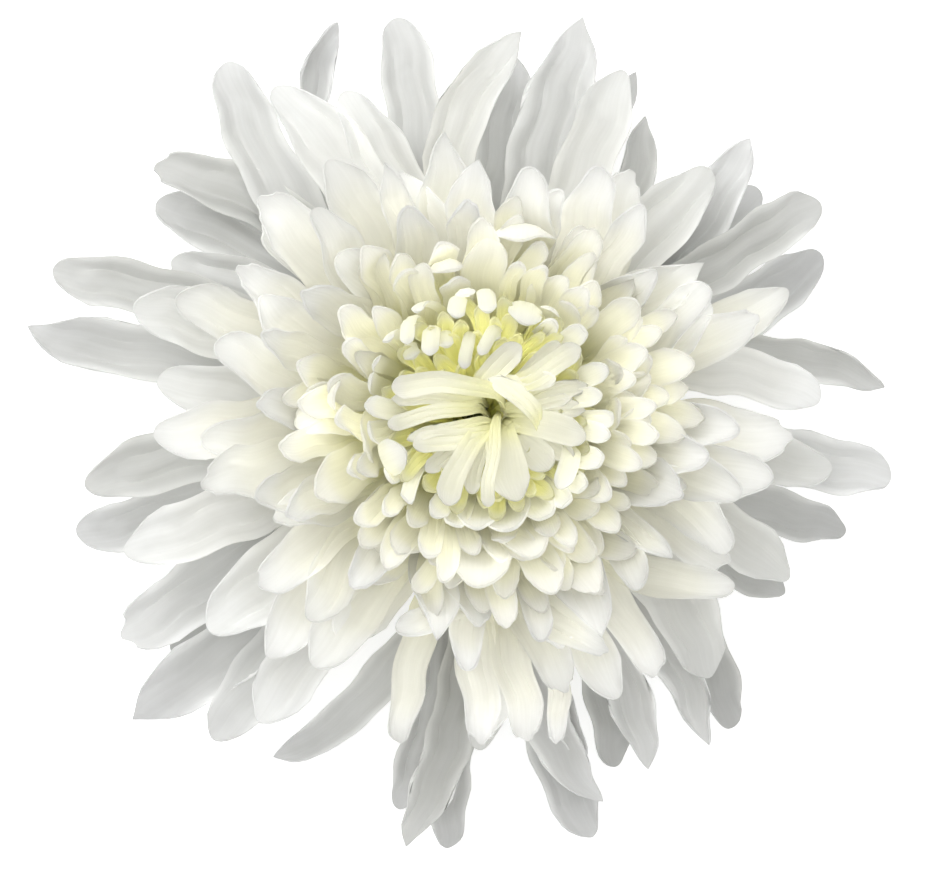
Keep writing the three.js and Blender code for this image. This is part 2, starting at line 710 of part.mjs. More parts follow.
// The one body of a joined solid: pockets that the blades seal between them are filled.
function geometryOf(solid) {
  const [body] = solid.decompose().sort((one, other) => other.volume() - one.volume());
  const mesh = body.getMesh();
  const geometry = new THREE.BufferGeometry();
  geometry.setAttribute('position', new THREE.BufferAttribute(mesh.vertProperties, mesh.numProp));
  geometry.setIndex(new THREE.BufferAttribute(mesh.triVerts, 1));
  return geometry;
}

function named(name, geometry, colour, roughness) {
  const mesh = new THREE.Mesh(geometry, new THREE.MeshStandardMaterial({ color: colour, roughness }));
  mesh.name = name;
  return mesh;
}

const draw = makeDraw(SEED);
const head = new THREE.Group();
head.add(named('ray_florets', geometryOf(rayFlorets(draw)), 0xf7f6f0, 0.6));
head.add(named('centre_florets', geometryOf(centreFlorets(draw)), 0xeeeacb, 0.6));
head.add(named('involucre', geometryOf(involucre()), 0x7d9455, 0.65));
head.add(named('stem', stem(), 0x86a05a, 0.6));

export default head;
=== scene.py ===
# %% [markdown]
# # A white chrysanthemum head
# The flower is a double chrysanthemum head, cut just under the bloom and laid face up. It has some
# two hundred and thirty florets, each one a small flower of its own with a single long petal. They are
# rooted on a dome no wider than a coin, so nearly all of the head's size is petal.
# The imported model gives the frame: its pieces, its size and where it stands. The script reads it first
# and builds finer petals into the same space.

# %% Load the frame
import json
import math

import bmesh
import bpy
import numpy as np
from mathutils import Matrix, Vector

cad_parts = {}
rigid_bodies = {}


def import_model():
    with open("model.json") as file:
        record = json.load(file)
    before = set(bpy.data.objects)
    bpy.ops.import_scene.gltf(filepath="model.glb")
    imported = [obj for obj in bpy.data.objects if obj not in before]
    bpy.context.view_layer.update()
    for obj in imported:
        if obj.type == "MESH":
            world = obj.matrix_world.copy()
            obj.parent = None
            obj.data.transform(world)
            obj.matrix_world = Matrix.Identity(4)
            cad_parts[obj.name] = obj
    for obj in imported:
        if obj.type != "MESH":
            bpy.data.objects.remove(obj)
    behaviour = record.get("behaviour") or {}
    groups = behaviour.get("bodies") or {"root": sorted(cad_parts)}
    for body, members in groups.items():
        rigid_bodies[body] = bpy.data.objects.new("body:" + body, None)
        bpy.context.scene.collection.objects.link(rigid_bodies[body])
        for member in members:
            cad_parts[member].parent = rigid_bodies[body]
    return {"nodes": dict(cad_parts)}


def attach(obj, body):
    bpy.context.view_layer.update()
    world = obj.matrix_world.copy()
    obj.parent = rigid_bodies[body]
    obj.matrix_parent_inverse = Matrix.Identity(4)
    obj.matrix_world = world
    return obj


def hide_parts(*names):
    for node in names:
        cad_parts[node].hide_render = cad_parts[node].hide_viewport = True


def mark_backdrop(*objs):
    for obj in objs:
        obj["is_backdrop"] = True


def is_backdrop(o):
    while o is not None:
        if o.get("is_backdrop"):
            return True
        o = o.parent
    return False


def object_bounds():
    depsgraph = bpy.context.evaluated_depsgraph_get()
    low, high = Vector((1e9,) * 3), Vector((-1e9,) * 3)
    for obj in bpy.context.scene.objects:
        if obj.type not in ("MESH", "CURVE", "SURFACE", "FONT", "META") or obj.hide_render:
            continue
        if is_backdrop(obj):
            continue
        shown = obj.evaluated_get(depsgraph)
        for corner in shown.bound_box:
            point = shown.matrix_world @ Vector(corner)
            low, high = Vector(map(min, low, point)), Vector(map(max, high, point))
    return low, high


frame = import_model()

CAD_BOX = [list(corner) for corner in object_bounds()]
MM = 0.001
print("nodes:", sorted(frame["nodes"]))
print("box of the head in mm:", [[round(value / MM, 1) for value in corner] for corner in CAD_BOX])

# %% [markdown]
# ## Helpers for working as by hand
# An operator acts on whatever is selected, so each step starts from nothing selected and picks its
# vertices by where they are. The same three helpers serve the petals, the bracts and the stem.

# %% Selecting
def clear_selection():
    """Leave edit mode and select nothing."""
    if bpy.context.object and bpy.context.object.mode != "OBJECT":
        bpy.ops.object.mode_set(mode="OBJECT")
    bpy.ops.object.select_all(action="DESELECT")


def pick_vertices(piece, test):
    """Select, in edit mode, the vertices of a piece whose place passes a test."""
    if bpy.context.object.mode != "EDIT":
        bpy.ops.object.mode_set(mode="EDIT")
    bpy.ops.mesh.select_mode(type="VERT")
    bpy.ops.mesh.select_all(action="DESELECT")
    cage = bmesh.from_edit_mesh(piece.data)
    for vertex in cage.verts:
        vertex.select_set(bool(test(vertex.co)))
    cage.select_flush_mode()
    bmesh.update_edit_mesh(piece.data)


def focus(piece):
    """Select one piece alone and make it active."""
    clear_selection()
    piece.select_set(True)
    bpy.context.view_layer.objects.active = piece
    return piece


print("helpers ready")

# %% [markdown]
# ## One flat floret
# Lying flat, a floret is a strap that widens from a narrow root and ends in a blunt, rounded tip, often
# with two small notches where its fused petals meet. It could be drawn as an outline and filled, but
# a grid bends more evenly, so a grid is the start. In edit mode its columns are shortened one by one
# until their ends follow the tip's outline, and the rows near the tip are drawn in.
# The flat floret runs from 0 to 1 along Y and from -1 to 1 across X. Its real size comes when it is
# bent into place. Three tips are enough for the whole head: round, notched and pointed. What tells them
# apart is how far each column stops short of the middle one.

# %% Outline of a tip
TIP_ZONE = 0.3
COLUMN_REACH = 0.96
NOTCH_PLACE, NOTCH_SPREAD = 0.36, 0.12


def tip_shortfall(across, notch, point):
    """How far the end of a column stays behind the middle one, as a share of the tip zone."""
    arc = 1 - math.sqrt(1 - (COLUMN_REACH * across) ** 2)
    notches = notch * math.exp(-((abs(across) - NOTCH_PLACE) / NOTCH_SPREAD) ** 2)
    return arc + notches + point * abs(across)


print("a round tip's outermost column stops", round(TIP_ZONE * tip_shortfall(1, 0, 0), 2), "short")

# %% [markdown]
# ## Cutting the strap to that outline
# The columns are shortened from a hinge line a little below the tip, so their rows stay evenly spaced.
# Five steps then draw the tip in. A vertex group marks the midrib as thick and the edges as thin, for
# the modifier that will give the petal its thickness.

# %% Model the flat florets
HINGE = 1 - 1.6 * TIP_ZONE
TAPER_STEPS = (0.3, 0.5, 0.65, 0.8, 0.92)
EDGE_THINNING = 0.9


def flat_floret(name, columns, rows, notch=0.0, point=0.0, taper=0.2):
    """A flat pattern: x from -1 to 1 across, y from root to tip, tip rounded."""
    clear_selection()
    bpy.ops.mesh.primitive_grid_add(x_subdivisions=columns, y_subdivisions=rows, size=2)
    pattern = bpy.context.object
    pattern.name = name
    pick_vertices(pattern, lambda place: True)
    bpy.ops.transform.translate(value=(0, 1, 0))
    bpy.ops.transform.resize(value=(1, 0.5, 1), center_override=(0, 0, 0))
    for column in range(columns + 1):
        across = -1 + 2 * column / columns
        shortfall = TIP_ZONE * tip_shortfall(across, notch, point)
        pick_vertices(pattern, lambda place: abs(place.x - across) < 0.01 and place.y > HINGE)
        share = (1 - HINGE - shortfall) / (1 - HINGE)
        bpy.ops.transform.resize(value=(1, share, 1), center_override=(0, HINGE, 0))
    for step in TAPER_STEPS:
        limit = 1 - TIP_ZONE * (1 - step)
        pick_vertices(pattern, lambda place: place.y > limit)
        bpy.ops.transform.resize(value=(1 - taper / len(TAPER_STEPS), 1, 1), center_override=(0, 0, 0))
    bpy.ops.object.mode_set(mode="OBJECT")
    thick = pattern.vertex_groups.new(name="thick")
    for vertex in pattern.data.vertices:
        thick.add([vertex.index], 1 - EDGE_THINNING * min(1, abs(vertex.co.x)) ** 2, "REPLACE")
    return pattern


PATTERNS = {
    "wide": [
        flat_floret("round_tip", 14, 24),
        flat_floret("notched_tip", 14, 24, notch=0.09),
        flat_floret("pointed_tip", 14, 24, point=0.35, taper=0.4),
    ],
    "slim": [
        flat_floret("slim_round_tip", 10, 20),
        flat_floret("slim_notched_tip", 10, 20, notch=0.07),
        flat_floret("slim_pointed_tip", 10, 20, point=0.4, taper=0.5),
    ],
}
for kind, patterns in PATTERNS.items():
    print(kind, [(pattern.name, len(pattern.data.polygons)) for pattern in patterns])

# %% [markdown]
# ## Where the florets grow
# The growing tip of the head sets each new floret 137.5 degrees round from the last, so that none
# hides another. The oldest are outermost and longest. Those guard florets take up whatever room they
# find, so they are listed one by one, as are the few that lie open over the eye. All others follow
# from their age and a seeded draw, which gives the same head each time.
# All of these values are in millimetres and degrees and are those of the solid model.

# %% The head's driving dimensions
SEED = 4099
GOLDEN_ANGLE = 137.508
RECEPTACLE = {"radius": 9, "height": 7, "base": 13}
CROWN = {"edge": 58, "low": 4, "rise": 40.5, "fullness": 0.88}

# The length of a floret's rounded tip in its own widths, and the share of its length from which it has
# its full width: each for the oldest, and what age 1 adds.
TIP_LENGTH = {"oldest": 0.9, "change": -0.35}
WIDEST = {"oldest": 0.62, "change": 0.3}

# Guard levels from the lowest up: climb on the dome, launch angle, tip height, arrival angle.
LEVELS = [(-0.12, 2, 0.8, -14), (0.0, 12, 6.5, -8), (0.1, 22, 12.5, -4), (0.16, 29, 18, 2)]

ROUND, NOTCHED, POINTED = 0, 1, 2
OUTER_TIPS = (ROUND, ROUND, NOTCHED, NOTCHED, POINTED)
INNER_TIPS = (ROUND, ROUND, ROUND, NOTCHED)
print("dome", 2 * RECEPTACLE["radius"], "mm across, crown", 2 * CROWN["edge"], "mm across")

# %% [markdown]
# ## The guard florets
# The outermost florets give the head its ragged outline. They lie on four levels, the lowest drooping to
# the surface, and some fold lengthwise into a keel. No rule gives such an outline, so each has a row.

# %% List the guard florets
# Tip azimuth, reach, lean, width, level, roll, fold and kind of tip.
GUARD_FLORETS = [
    (353, 55, 1, 7.8, 1, 0, 0, ROUND),
    (6.6, 54.5, -26, 6.4, 0, 25, 70, POINTED),
    (3.5, 44.5, -36, 6.6, 3, -8, 0, ROUND),
    (353, 46.5, 2, 7.6, 2, 0, 0, ROUND),
    (27.5, 51.7, 20, 9, 0, 0, 0, ROUND),
    (32, 55, -8, 7.6, 1, 10, 50, ROUND),
    (44.5, 52.8, 12, 8, 1, -10, 45, POINTED),
    (39, 49.6, 0, 7.4, 0, 0, 0, ROUND),
    (48, 45, 8, 9.2, 2, 0, 0, ROUND),
    (61, 46.8, 30, 5.8, 1, 20, 60, POINTED),
    (65, 51.8, -5, 6.2, 0, 30, 65, POINTED),
    (68, 50, 6, 8, 2, 0, 0, ROUND),
    (75.9, 55.9, -2, 9.8, 1, 0, 0, POINTED),
    (83, 51.4, -40, 7.8, 2, 12, 60, POINTED),
    (84, 49, -4, 7.4, 0, 0, 0, ROUND),
    (101, 54, 7, 8.2, 1, 0, 50, ROUND),
    (109, 57, -48, 5.6, 0, 20, 60, POINTED),
    (112, 45.3, 8, 8.4, 2, 0, 0, ROUND),
    (122, 50, 12, 10, 2, 0, 0, ROUND),
    (125, 57, -22, 8.6, 1, 0, 48, ROUND),
    (141, 53.4, 28, 8.2, 1, 8, 0, NOTCHED),
    (146, 50.3, 14, 8.6, 0, 0, 0, ROUND),
    (152, 44.5, 6, 8, 1, 0, 0, ROUND),
    (160.5, 58, 11, 7.6, 1, -8, 50, ROUND),
    (166.5, 58.6, -9, 8.2, 0, 0, 45, POINTED),
    (164, 46.5, 7, 9.4, 3, 0, 0, ROUND),
    (175, 41, 8, 8.8, 3, 0, 0, ROUND),
    (188, 50.4, 9, 8.6, 1, 0, 0, ROUND),
    (194.6, 52.9, -2, 7.2, 0, 0, 0, ROUND),
    (200, 48, -8, 8.8, 2, 0, 0, ROUND),
    (210, 53, -9, 9, 1, 0, 0, NOTCHED),
    (216, 49, -4, 6.6, 0, 0, 0, ROUND),
    (221.4, 58.6, 0, 10, 0, 0, 0, POINTED),
    (229.5, 53, 3, 8.4, 1, 10, 0, ROUND),
    (235, 47.6, 1, 8.4, 2, 0, 0, ROUND),
    (217, 43.5, -10, 10, 3, 0, 0, ROUND),
    (240.3, 50.6, -44, 5.8, 0, 10, 50, POINTED),
    (259.5, 50.5, -1, 5.4, 0, 20, 0, ROUND),
    (261, 55.4, -17, 6.6, 1, 0, 50, POINTED),
    (268, 55, 0, 5.8, 0, 0, 0, ROUND),
    (270, 42, -3, 5, 2, 0, 0, ROUND),
    (286, 55.7, 6, 7, 0, 0, 0, ROUND),
    (289, 51.7, 26, 7, 1, 25, 55, POINTED),
    (288, 46.5, 4, 4.4, 1, 0, 50, POINTED),
    (293, 48, -12, 6.4, 0, 0, 0, ROUND),
    (297, 50, -14, 6.6, 1, 0, 45, POINTED),
    (307, 51.2, -24, 6.6, 1, 25, 66, POINTED),
    (312, 52.4, -26, 6.8, 0, 0, 0, ROUND),
    (313, 45, -16, 9.6, 2, 0, 0, ROUND),
    (333, 46.5, 8, 6.4, 0, 0, 0, ROUND),
    (334.5, 45.4, -20, 7.6, 2, 0, 0, ROUND),
    (346, 51.7, 3, 7, 0, 0, 0, ROUND),
]
print("guard florets:", len(GUARD_FLORETS))

# %% [markdown]
# ## The body florets
# Above the guards the florets are shorter and steeper with each turn of the spiral. Their tip heights
# follow the crown's curve, and their roots and launch angles follow from their age, so a row needs only
# what can be seen from above.

# %% List the body florets
# Tip azimuth, reach, lean, width, arrival angle, cup and fold.
BODY_FLORETS = [
    (2, 21, 0, 3, 34, 40, 0),
    (0, 32.5, 0, 8.2, 22, 74, 0),
    (11, 18.6, 2, 3.7, 40, 40, 0),
    (13, 27, 4, 4.9, 30, 40, 0),
    (19, 21.5, 0, 4, 38, 44, 0),
    (24, 32.5, -4, 7.8, 22, 66, 0),
    (19, 37.5, -4, 7.6, 14, 58, 0),
    (22.5, 42, 4, 6, 0, 40, 0),
    (37, 23.5, 0, 4.3, 36, 42, 0),
    (36, 34, -3, 7.4, 14, 44, 0),
    (42, 28, 4, 5.6, 26, 40, 0),
    (51, 20, 0, 3.8, 44, 40, 0),
    (53, 33, 6, 5.4, 16, 44, 0),
    (58, 26.5, 0, 5, 30, 40, 0),
    (64, 35, 4, 7, 12, 36, 0),
    (68, 19.2, 0, 3.1, 70, 40, 0),
    (75, 31.5, 0, 7.6, 20, 44, 0),
    (78, 22, 0, 8.2, 128, 28, 0),
    (80, 18.8, 0, 2.6, 75, 44, 0),
    (88, 31.5, -22, 7, 30, 34, 0),
    (92, 24, 0, 4.6, 40, 40, 0),
    (97, 27.5, 0, 5, 44, 40, 0),
    (99, 36, 2, 7.4, 12, 40, 0),
    (106, 22, 0, 4.3, 70, 40, 0),
    (107, 18.4, 0, 4.3, 118, 36, 0),
    (112, 34, -6, 5, 20, 40, 55),
    (114, 28, 0, 6, 40, 38, 0),
    (121, 38, 0, 8, 8, 38, 0),
    (122, 20.5, 0, 4, 70, 38, 0),
    (128, 26, 4, 4.9, 44, 40, 0),
    (134, 33, 0, 7, 18, 38, 0),
    (136, 39.5, 4, 7.8, 8, 40, 0),
    (138, 19, 0, 3.5, 60, 38, 0),
    (148, 22.5, 0, 4.2, 46, 36, 0),
    (144, 28, 0, 6, 34, 38, 0),
    (150, 36, 0, 7, 12, 38, 0),
    (157, 19.5, 0, 3.7, 56, 38, 0),
    (160, 30.5, 0, 5.4, 30, 40, 0),
    (160, 41.5, 0, 7.4, 6, 36, 0),
    (166, 24.5, 0, 4.5, 60, 32, 0),
    (170, 35, 0, 7.6, 10, 36, 0),
    (174, 20, 0, 4, 84, 34, 0),
    (177, 29, 0, 6, 26, 38, 0),
    (178, 23.8, 0, 4.4, 42, 36, 0),
    (186, 19.2, 0, 4, 62, 34, 0),
    (184, 41.5, 0, 8, 6, 38, 0),
    (189, 26.5, 0, 5, 28, 34, 0),
    (195, 37, 4, 8, 10, 38, 0),
    (199, 32, 0, 6, 28, 40, 0),
    (204, 24.2, 0, 6.6, 46, 30, 0),
    (205, 19.4, 0, 3.5, 60, 40, 0),
    (211, 29, 0, 6, 30, 42, 0),
    (215, 36, 0, 7, 12, 40, 0),
    (220, 22, 0, 4, 44, 42, 0),
    (226, 41, 6, 8.4, 6, 46, 0),
    (228, 34.5, 0, 7, 18, 46, 0),
    (225, 18.8, 0, 3, 50, 40, 0),
    (235, 38.5, -4, 8.4, 8, 46, 0),
    (234, 28, 2, 6, 22, 40, 0),
    (238, 23.6, 6, 4.3, 30, 40, 0),
    (246, 20.5, 0, 3.3, 44, 44, 0),
    (250, 30.5, -40, 4.8, 8, 40, 0),
    (256, 29.5, 6, 6.8, 14, 38, 0),
    (258, 42.5, 4, 4.8, -6, 48, 0),
    (254, 22, 0, 3.3, 26, 44, 0),
    (265, 22.6, -2, 9, 30, 34, 0),
    (265, 33, 2, 5, 8, 44, 0),
    (267.5, 41.5, 0, 6, -2, 44, 58),
    (276, 27, 4, 4.3, 16, 46, 0),
    (277, 41.5, 3, 5.4, -6, 46, 0),
    (285.5, 37, 14, 6.4, 6, 46, 60),
    (284, 30, 2, 4.2, 8, 50, 0),
    (283, 42, -15, 3.4, -8, 44, 50),
    (286, 19.4, 2, 7.4, 52, 34, 0),
    (299, 32, -8, 8.6, 12, 46, 0),
    (290, 24.5, 0, 5.2, 26, 40, 0),
    (293, 39.6, -2, 6, 0, 46, 0),
    (301, 27, 0, 5.4, 20, 40, 0),
    (297, 33.8, 46, 5, 2, 52, 0),
    (303, 39.5, -10, 6, 0, 40, 55),
    (303, 20, -4, 3.5, 40, 44, 0),
    (309, 29.5, -16, 4.4, 16, 48, 0),
    (316, 22.5, -10, 3.8, 38, 44, 0),
    (321, 30, -12, 4.2, 18, 52, 0),
    (324, 19, -6, 3.8, 46, 40, 0),
    (325, 38.5, 30, 5.6, 4, 46, 0),
    (331, 35.5, -26, 7.6, 14, 42, 0),
    (336, 27.5, -6, 8, 26, 40, 0),
    (340, 20.5, 0, 3.5, 38, 44, 0),
    (341, 34, 0, 7, 14, 44, 0),
    (349, 37.5, 2, 8.2, 10, 42, 0),
    (350, 29, 4, 6, 24, 42, 0),
    (352, 21.5, 0, 3.5, 34, 44, 0),
]
print("body florets:", len(BODY_FLORETS))

# %% [markdown]
# ## The florets round the eye
# The youngest florets are still opening. A ring of them stands round the rim of the eye, some bend
# inwards over it with their tips curled down, and some lie open across it.

# %% List the florets of the eye
# Tip azimuth, reach, lean, width, tip height, arrival angle and cup of each rim floret.
RIM_FLORETS = [
    (8, 14, 4, 2.8, 42.4, 24, 40),
    (18, 15.8, 0, 3, 42.3, 30, 40),
    (42, 15.6, 4, 3, 42.4, 36, 40),
    (54, 13.4, 0, 2.8, 42.6, 60, 40),
    (179, 15.6, 0, 2.8, 42.8, 20, 30),
    (192, 16, 0, 3.2, 41.4, 50, 40),
    (214, 15.9, 0, 3, 41.4, 50, 38),
    (229.5, 16, 20, 2, 42.2, 10, 40),
    (241, 15.4, -4, 3, 41.2, 30, 40),
    (253, 15.6, 0, 4, 41.2, 56, 40),
    (267, 15.2, 0, 6, 42.2, 68, 28),
    (284, 15.3, 4, 6.4, 42.2, 64, 28),
    (299, 15.7, 0, 4.4, 41.8, 50, 40),
    (311, 15.9, 0, 3.6, 41.6, 40, 44),
    (321, 15.8, 0, 3.2, 42.4, 44, 40),
    (335, 15.7, 4, 3.4, 42.2, 32, 40),
    (346, 15.4, -4, 2.8, 42.2, 28, 40),
    (357, 15.9, 0, 2.8, 42.3, 30, 40),
]

# Root azimuth and radius, tip azimuth, reach, lean, width, tip height and arrival angle of each floret
# that bends inwards over the eye, and then the same of those that lie open over it.
INCURVED_FLORETS = [
    (58, 3.3, 58, 14.4, 0, 2.8, 42.6, 100),
    (72, 3.3, 69.2, 11, 4, 4.4, 43.6, 150),
    (88, 3.3, 86, 8.2, 0, 2, 42, 140),
    (90, 3.3, 91, 11.6, 0, 2.4, 43.9, 152),
    (80, 3.3, 100.5, 6.6, -35, 1.8, 43.5, 168),
    (108, 3.3, 111, 11.7, -30, 2.3, 43.8, 152),
    (104, 3.3, 124.5, 5.8, -43, 1.7, 43.5, 174),
    (100, 3.3, 101, 14.2, 0, 2.6, 43, 125),
    (118, 3.3, 127.5, 14.8, -50, 1.9, 43.4, 150),
    (128, 3.3, 140, 9.7, -50, 2.3, 43.4, 164),
    (120, 3.3, 124, 9, -20, 2, 42, 140),
    (134, 3.3, 142.8, 12.9, -52, 1.9, 43.5, 160),
    (140, 3.3, 146, 11, -30, 2.2, 41.8, 130),
    (150, 3.3, 147.5, 15, -40, 2.2, 42.9, 150),
    (158, 3.3, 158, 14.8, -16, 2.6, 42.3, 115),
    (168, 3.3, 168, 15, 0, 2.8, 42, 100),
    (204, 3.3, 207, 11.7, 0, 4.9, 43.4, 150),
    (335, 3.3, 311, 13.4, -66, 2.7, 43.1, 8),
]
EYE_FLORETS = [
    (358, 3.4, 168, 12.6, 17, 3, 42.9, 0, ROUND),
    (60, 1.2, 175.6, 12.3, 6, 2.4, 42, 4, POINTED),
    (340, 0.8, 188.4, 12.6, 2.6, 2.1, 42.3, 3, ROUND),
    (318, 2.2, 200.4, 11, -8.5, 1.5, 41.8, 3, POINTED),
    (306, 3.6, 207.5, 10.8, -18, 2.8, 41.9, 4, ROUND),
    (326, 3.4, 243.4, 13.3, 8, 3.2, 42.1, 6, ROUND),
    (236, 1.4, 228, 11, 4, 2.2, 40.6, 4, ROUND),
    (340, 1.6, 261, 10.8, 2, 2.1, 41, 6, ROUND),
    (10, 1.8, 268.6, 12.4, -5, 1.8, 42.5, 3, ROUND),
    (340, 3, 286.5, 12, 2, 5.4, 42, 12, ROUND),
    (315, 2, 313, 10.9, 0, 3.6, 41.1, 16, ROUND),
    (325, 2, 327, 12.2, 0, 2.8, 40.9, 16, ROUND),
    (335, 3, 348.5, 12.4, 6, 4, 41.4, 8, ROUND),
    (352, 2, 358, 12.2, 0, 2.4, 41, 8, POINTED),
    (20, 2, 9, 10.4, 4, 2, 40.9, 6, POINTED),
    (80, 3.6, 31.5, 13.6, 4, 3, 42.6, 10, ROUND),
    (90, 3.2, 25, 9, -14, 2.2, 42, 4, ROUND),
    (20, 2.6, 17, 12.6, 0, 2.4, 41.4, 12, POINTED),
    (58, 3, 44, 12, 0, 2.4, 41.2, 18, ROUND),
    (136, 3.8, 65, 8.9, -20, 3.2, 42.2, 6, ROUND),
    (326, 6.4, 96, 3.4, 56, 2.7, 42.8, 0, POINTED),
]
INCURVED_LAUNCH, INCURVED_RISE = 71, 0.4
EYE_LAUNCH, EYE_RISE = 90, 1.1
EYE_CUP = 28
print("rim, incurved and open florets:", len(RIM_FLORETS), len(INCURVED_FLORETS), len(EYE_FLORETS))

# %% [markdown]
# ## Setting the florets out
# A small generator makes the draws, in whole numbers, so they repeat exactly. A floret is kept as a
# plain record of where it is rooted, where its tip is, and how it is turned and cupped. The guards come
# first, each from its row and its level.

# %% Draws and guard florets
class Draw:
    """Park and Miller's generator of even draws between two values."""

    def __init__(self, seed):
        self.state = seed

    def __call__(self, low, high):
        self.state = (self.state * 16807) % 2147483647
        return low + (high - low) * self.state / 2147483647


def guard_florets(draw):
    for tip_azimuth, reach, lean, width, level, roll, fold, tip in GUARD_FLORETS:
        climb, launch, tip_height, arrive = LEVELS[level]
        yield dict(
            azimuth=tip_azimuth - 0.35 * lean, tip_azimuth=tip_azimuth, reach=reach, lean=lean,
            width=width, climb=climb, launch=launch, tip_height=tip_height + draw(-0.6, 1.6),
            arrive=arrive + draw(-8, 8), roll=roll + draw(-8, 8), cup=draw(30, 54), fold=fold, age=0,
            tip=tip, level=level,
        )


draw = Draw(SEED)
GUARDS = list(guard_florets(draw))
print("guards set out:", len(GUARDS))

# %% [markdown]
# ## Setting out the crown
# The body florets follow, and then the fillers, which stand a little lower in the gaps between them. The
# fillers aren't listed: the golden angle gives their bearings, and their age gives all the rest.

# %% Body florets and fillers
FILLER_COUNT = 26


def crown_height(reach):
    return CROWN["low"] + CROWN["rise"] * (1 - (reach / CROWN["edge"]) ** 2) ** CROWN["fullness"]


def body_age(reach):
    """Age of a body floret, 0 for the outermost, from how far it reaches."""
    return min(1, max(0, math.log(44.5 / reach) / 0.96))


def body_florets(draw):
    for tip_azimuth, reach, lean, width, arrive, cup, fold in BODY_FLORETS:
        age = body_age(reach)
        yield dict(
            azimuth=tip_azimuth - 0.35 * lean, tip_azimuth=tip_azimuth, reach=reach, lean=lean, width=width,
            climb=0.2 + 0.62 * age, launch=28 + 40 * age,
            tip_height=crown_height(reach) + 0.6 + draw(-0.5, 0.5), arrive=arrive + draw(-4, 4),
            roll=draw(-14, 14), cup=cup, fold=fold, age=age,
        )


def filler_florets(draw):
    for index in range(FILLER_COUNT):
        age = index / (FILLER_COUNT - 1)
        reach = (40 - 23 * age) * draw(0.95, 1.05)
        azimuth = GOLDEN_ANGLE * index + draw(-5, 5)
        lean = draw(-22, 22)
        yield dict(
            azimuth=azimuth, tip_azimuth=azimuth + 0.35 * lean, reach=reach, lean=lean,
            width=(8.4 - 3.4 * age) * draw(0.88, 1.12), climb=0.18 + 0.6 * age, launch=26 + 38 * age,
            tip_height=crown_height(reach) - 3.4 + draw(-0.8, 0.8), arrive=2 + 34 * age + draw(-12, 12),
            roll=draw(-18, 18), cup=draw(24, 48), fold=0, age=age,
        )


BODY = list(body_florets(draw))
FILLERS = list(filler_florets(draw))
print("body florets and fillers set out:", len(BODY), len(FILLERS))

# %% [markdown]
# ## Setting out the eye
# The florets of the eye are rooted near the top of the dome. Those of the rim arch outwards. The others
# have a root of their own in their rows, because they cross the axis or lean far to one side.

# %% Florets of the eye
def rim_florets(draw):
    for tip_azimuth, reach, lean, width, tip_height, arrive, cup in RIM_FLORETS:
        yield dict(
            azimuth=tip_azimuth - 0.3 * lean, tip_azimuth=tip_azimuth, reach=reach, lean=lean,
            width=width, climb=0.93, launch=80, tip_height=tip_height,
            arrive=arrive + draw(-5, 5), roll=draw(-12, 12), cup=cup, fold=0, age=1,
        )


def eye_florets(listed, launch, rise):
    for azimuth, root_radius, tip_azimuth, reach, lean, width, tip_height, arrive, *tip in listed:
        yield dict(
            azimuth=azimuth, tip_azimuth=tip_azimuth, reach=reach, lean=lean, width=width,
            climb=math.sqrt(1 - (root_radius / RECEPTACLE["radius"]) ** 2), launch=launch,
            tip_height=tip_height, arrive=arrive, roll=0, cup=EYE_CUP, fold=0, age=1, rise=rise,
            facing=tip_azimuth + lean, tip=tip[0] if tip else ROUND,
        )


RIM = list(rim_florets(draw))
INCURVED = list(eye_florets(INCURVED_FLORETS, INCURVED_LAUNCH, INCURVED_RISE))
EYE = list(eye_florets(EYE_FLORETS, EYE_LAUNCH, EYE_RISE))
print("florets:", sum(len(group) for group in (GUARDS, BODY, FILLERS, RIM, INCURVED, EYE)))

# %% [markdown]
# ## Filling the depths
# Between the florets that can be told apart, a real head is packed with more. A tuft of the youngest
# fills the eye, parted by one dark slit, and nested florets show little more than their tips between the
# inner rings. They are fewer on the side where the head is more open. On the solid model a plain core
# takes their place.

# %% The youngest and the nested florets
TUFT_COUNT = 96
TUFT_REACH = 14.4
SLIT = {"azimuth": 192, "half_angle": 7}
NESTED_COUNT = 90
OPEN_SIDE = (70, 230)


def tuft_florets(draw):
    """The youngest florets, packed under the eye florets."""
    for index in range(TUFT_COUNT):
        reach = 1.6 + (TUFT_REACH - 1.6) * math.sqrt((index + 0.5) / TUFT_COUNT)
        azimuth = GOLDEN_ANGLE * index % 360
        if abs(azimuth - SLIT["azimuth"]) < SLIT["half_angle"]:
            continue
        yield dict(
            azimuth=azimuth, tip_azimuth=azimuth, reach=reach, lean=draw(-20, 20), width=draw(1.8, 2.6),
            climb=1 - 0.1 * (reach / TUFT_REACH) ** 2, launch=86,
            tip_height=39.6 + 1.6 * (reach / TUFT_REACH) ** 2 + draw(-0.8, 0.8),
            arrive=100 - 5 * reach + draw(-18, 18), roll=draw(-20, 20), cup=40, fold=0, age=1,
        )


def nested_florets(draw):
    """The florets between the listed inner ones, of which little more than the tips shows."""
    for index in range(NESTED_COUNT):
        reach = 16.6 + 11 * index / NESTED_COUNT
        azimuth = (GOLDEN_ANGLE * index + draw(-4, 4)) % 360
        age = body_age(reach)
        if OPEN_SIDE[0] < azimuth < OPEN_SIDE[1] and index % 3:
            continue
        yield dict(
            azimuth=azimuth, tip_azimuth=azimuth, reach=reach, lean=draw(-24, 24), width=draw(3.0, 4.4),
            climb=0.2 + 0.62 * age, launch=28 + 40 * age, tip_height=crown_height(reach) - draw(0.8, 2.6),
            arrive=78 - 2 * reach + draw(-8, 8), roll=draw(-14, 14), cup=draw(24, 38), fold=0, age=age,
        )


print("at most", TUFT_COUNT, "in the tuft and", NESTED_COUNT, "nested")

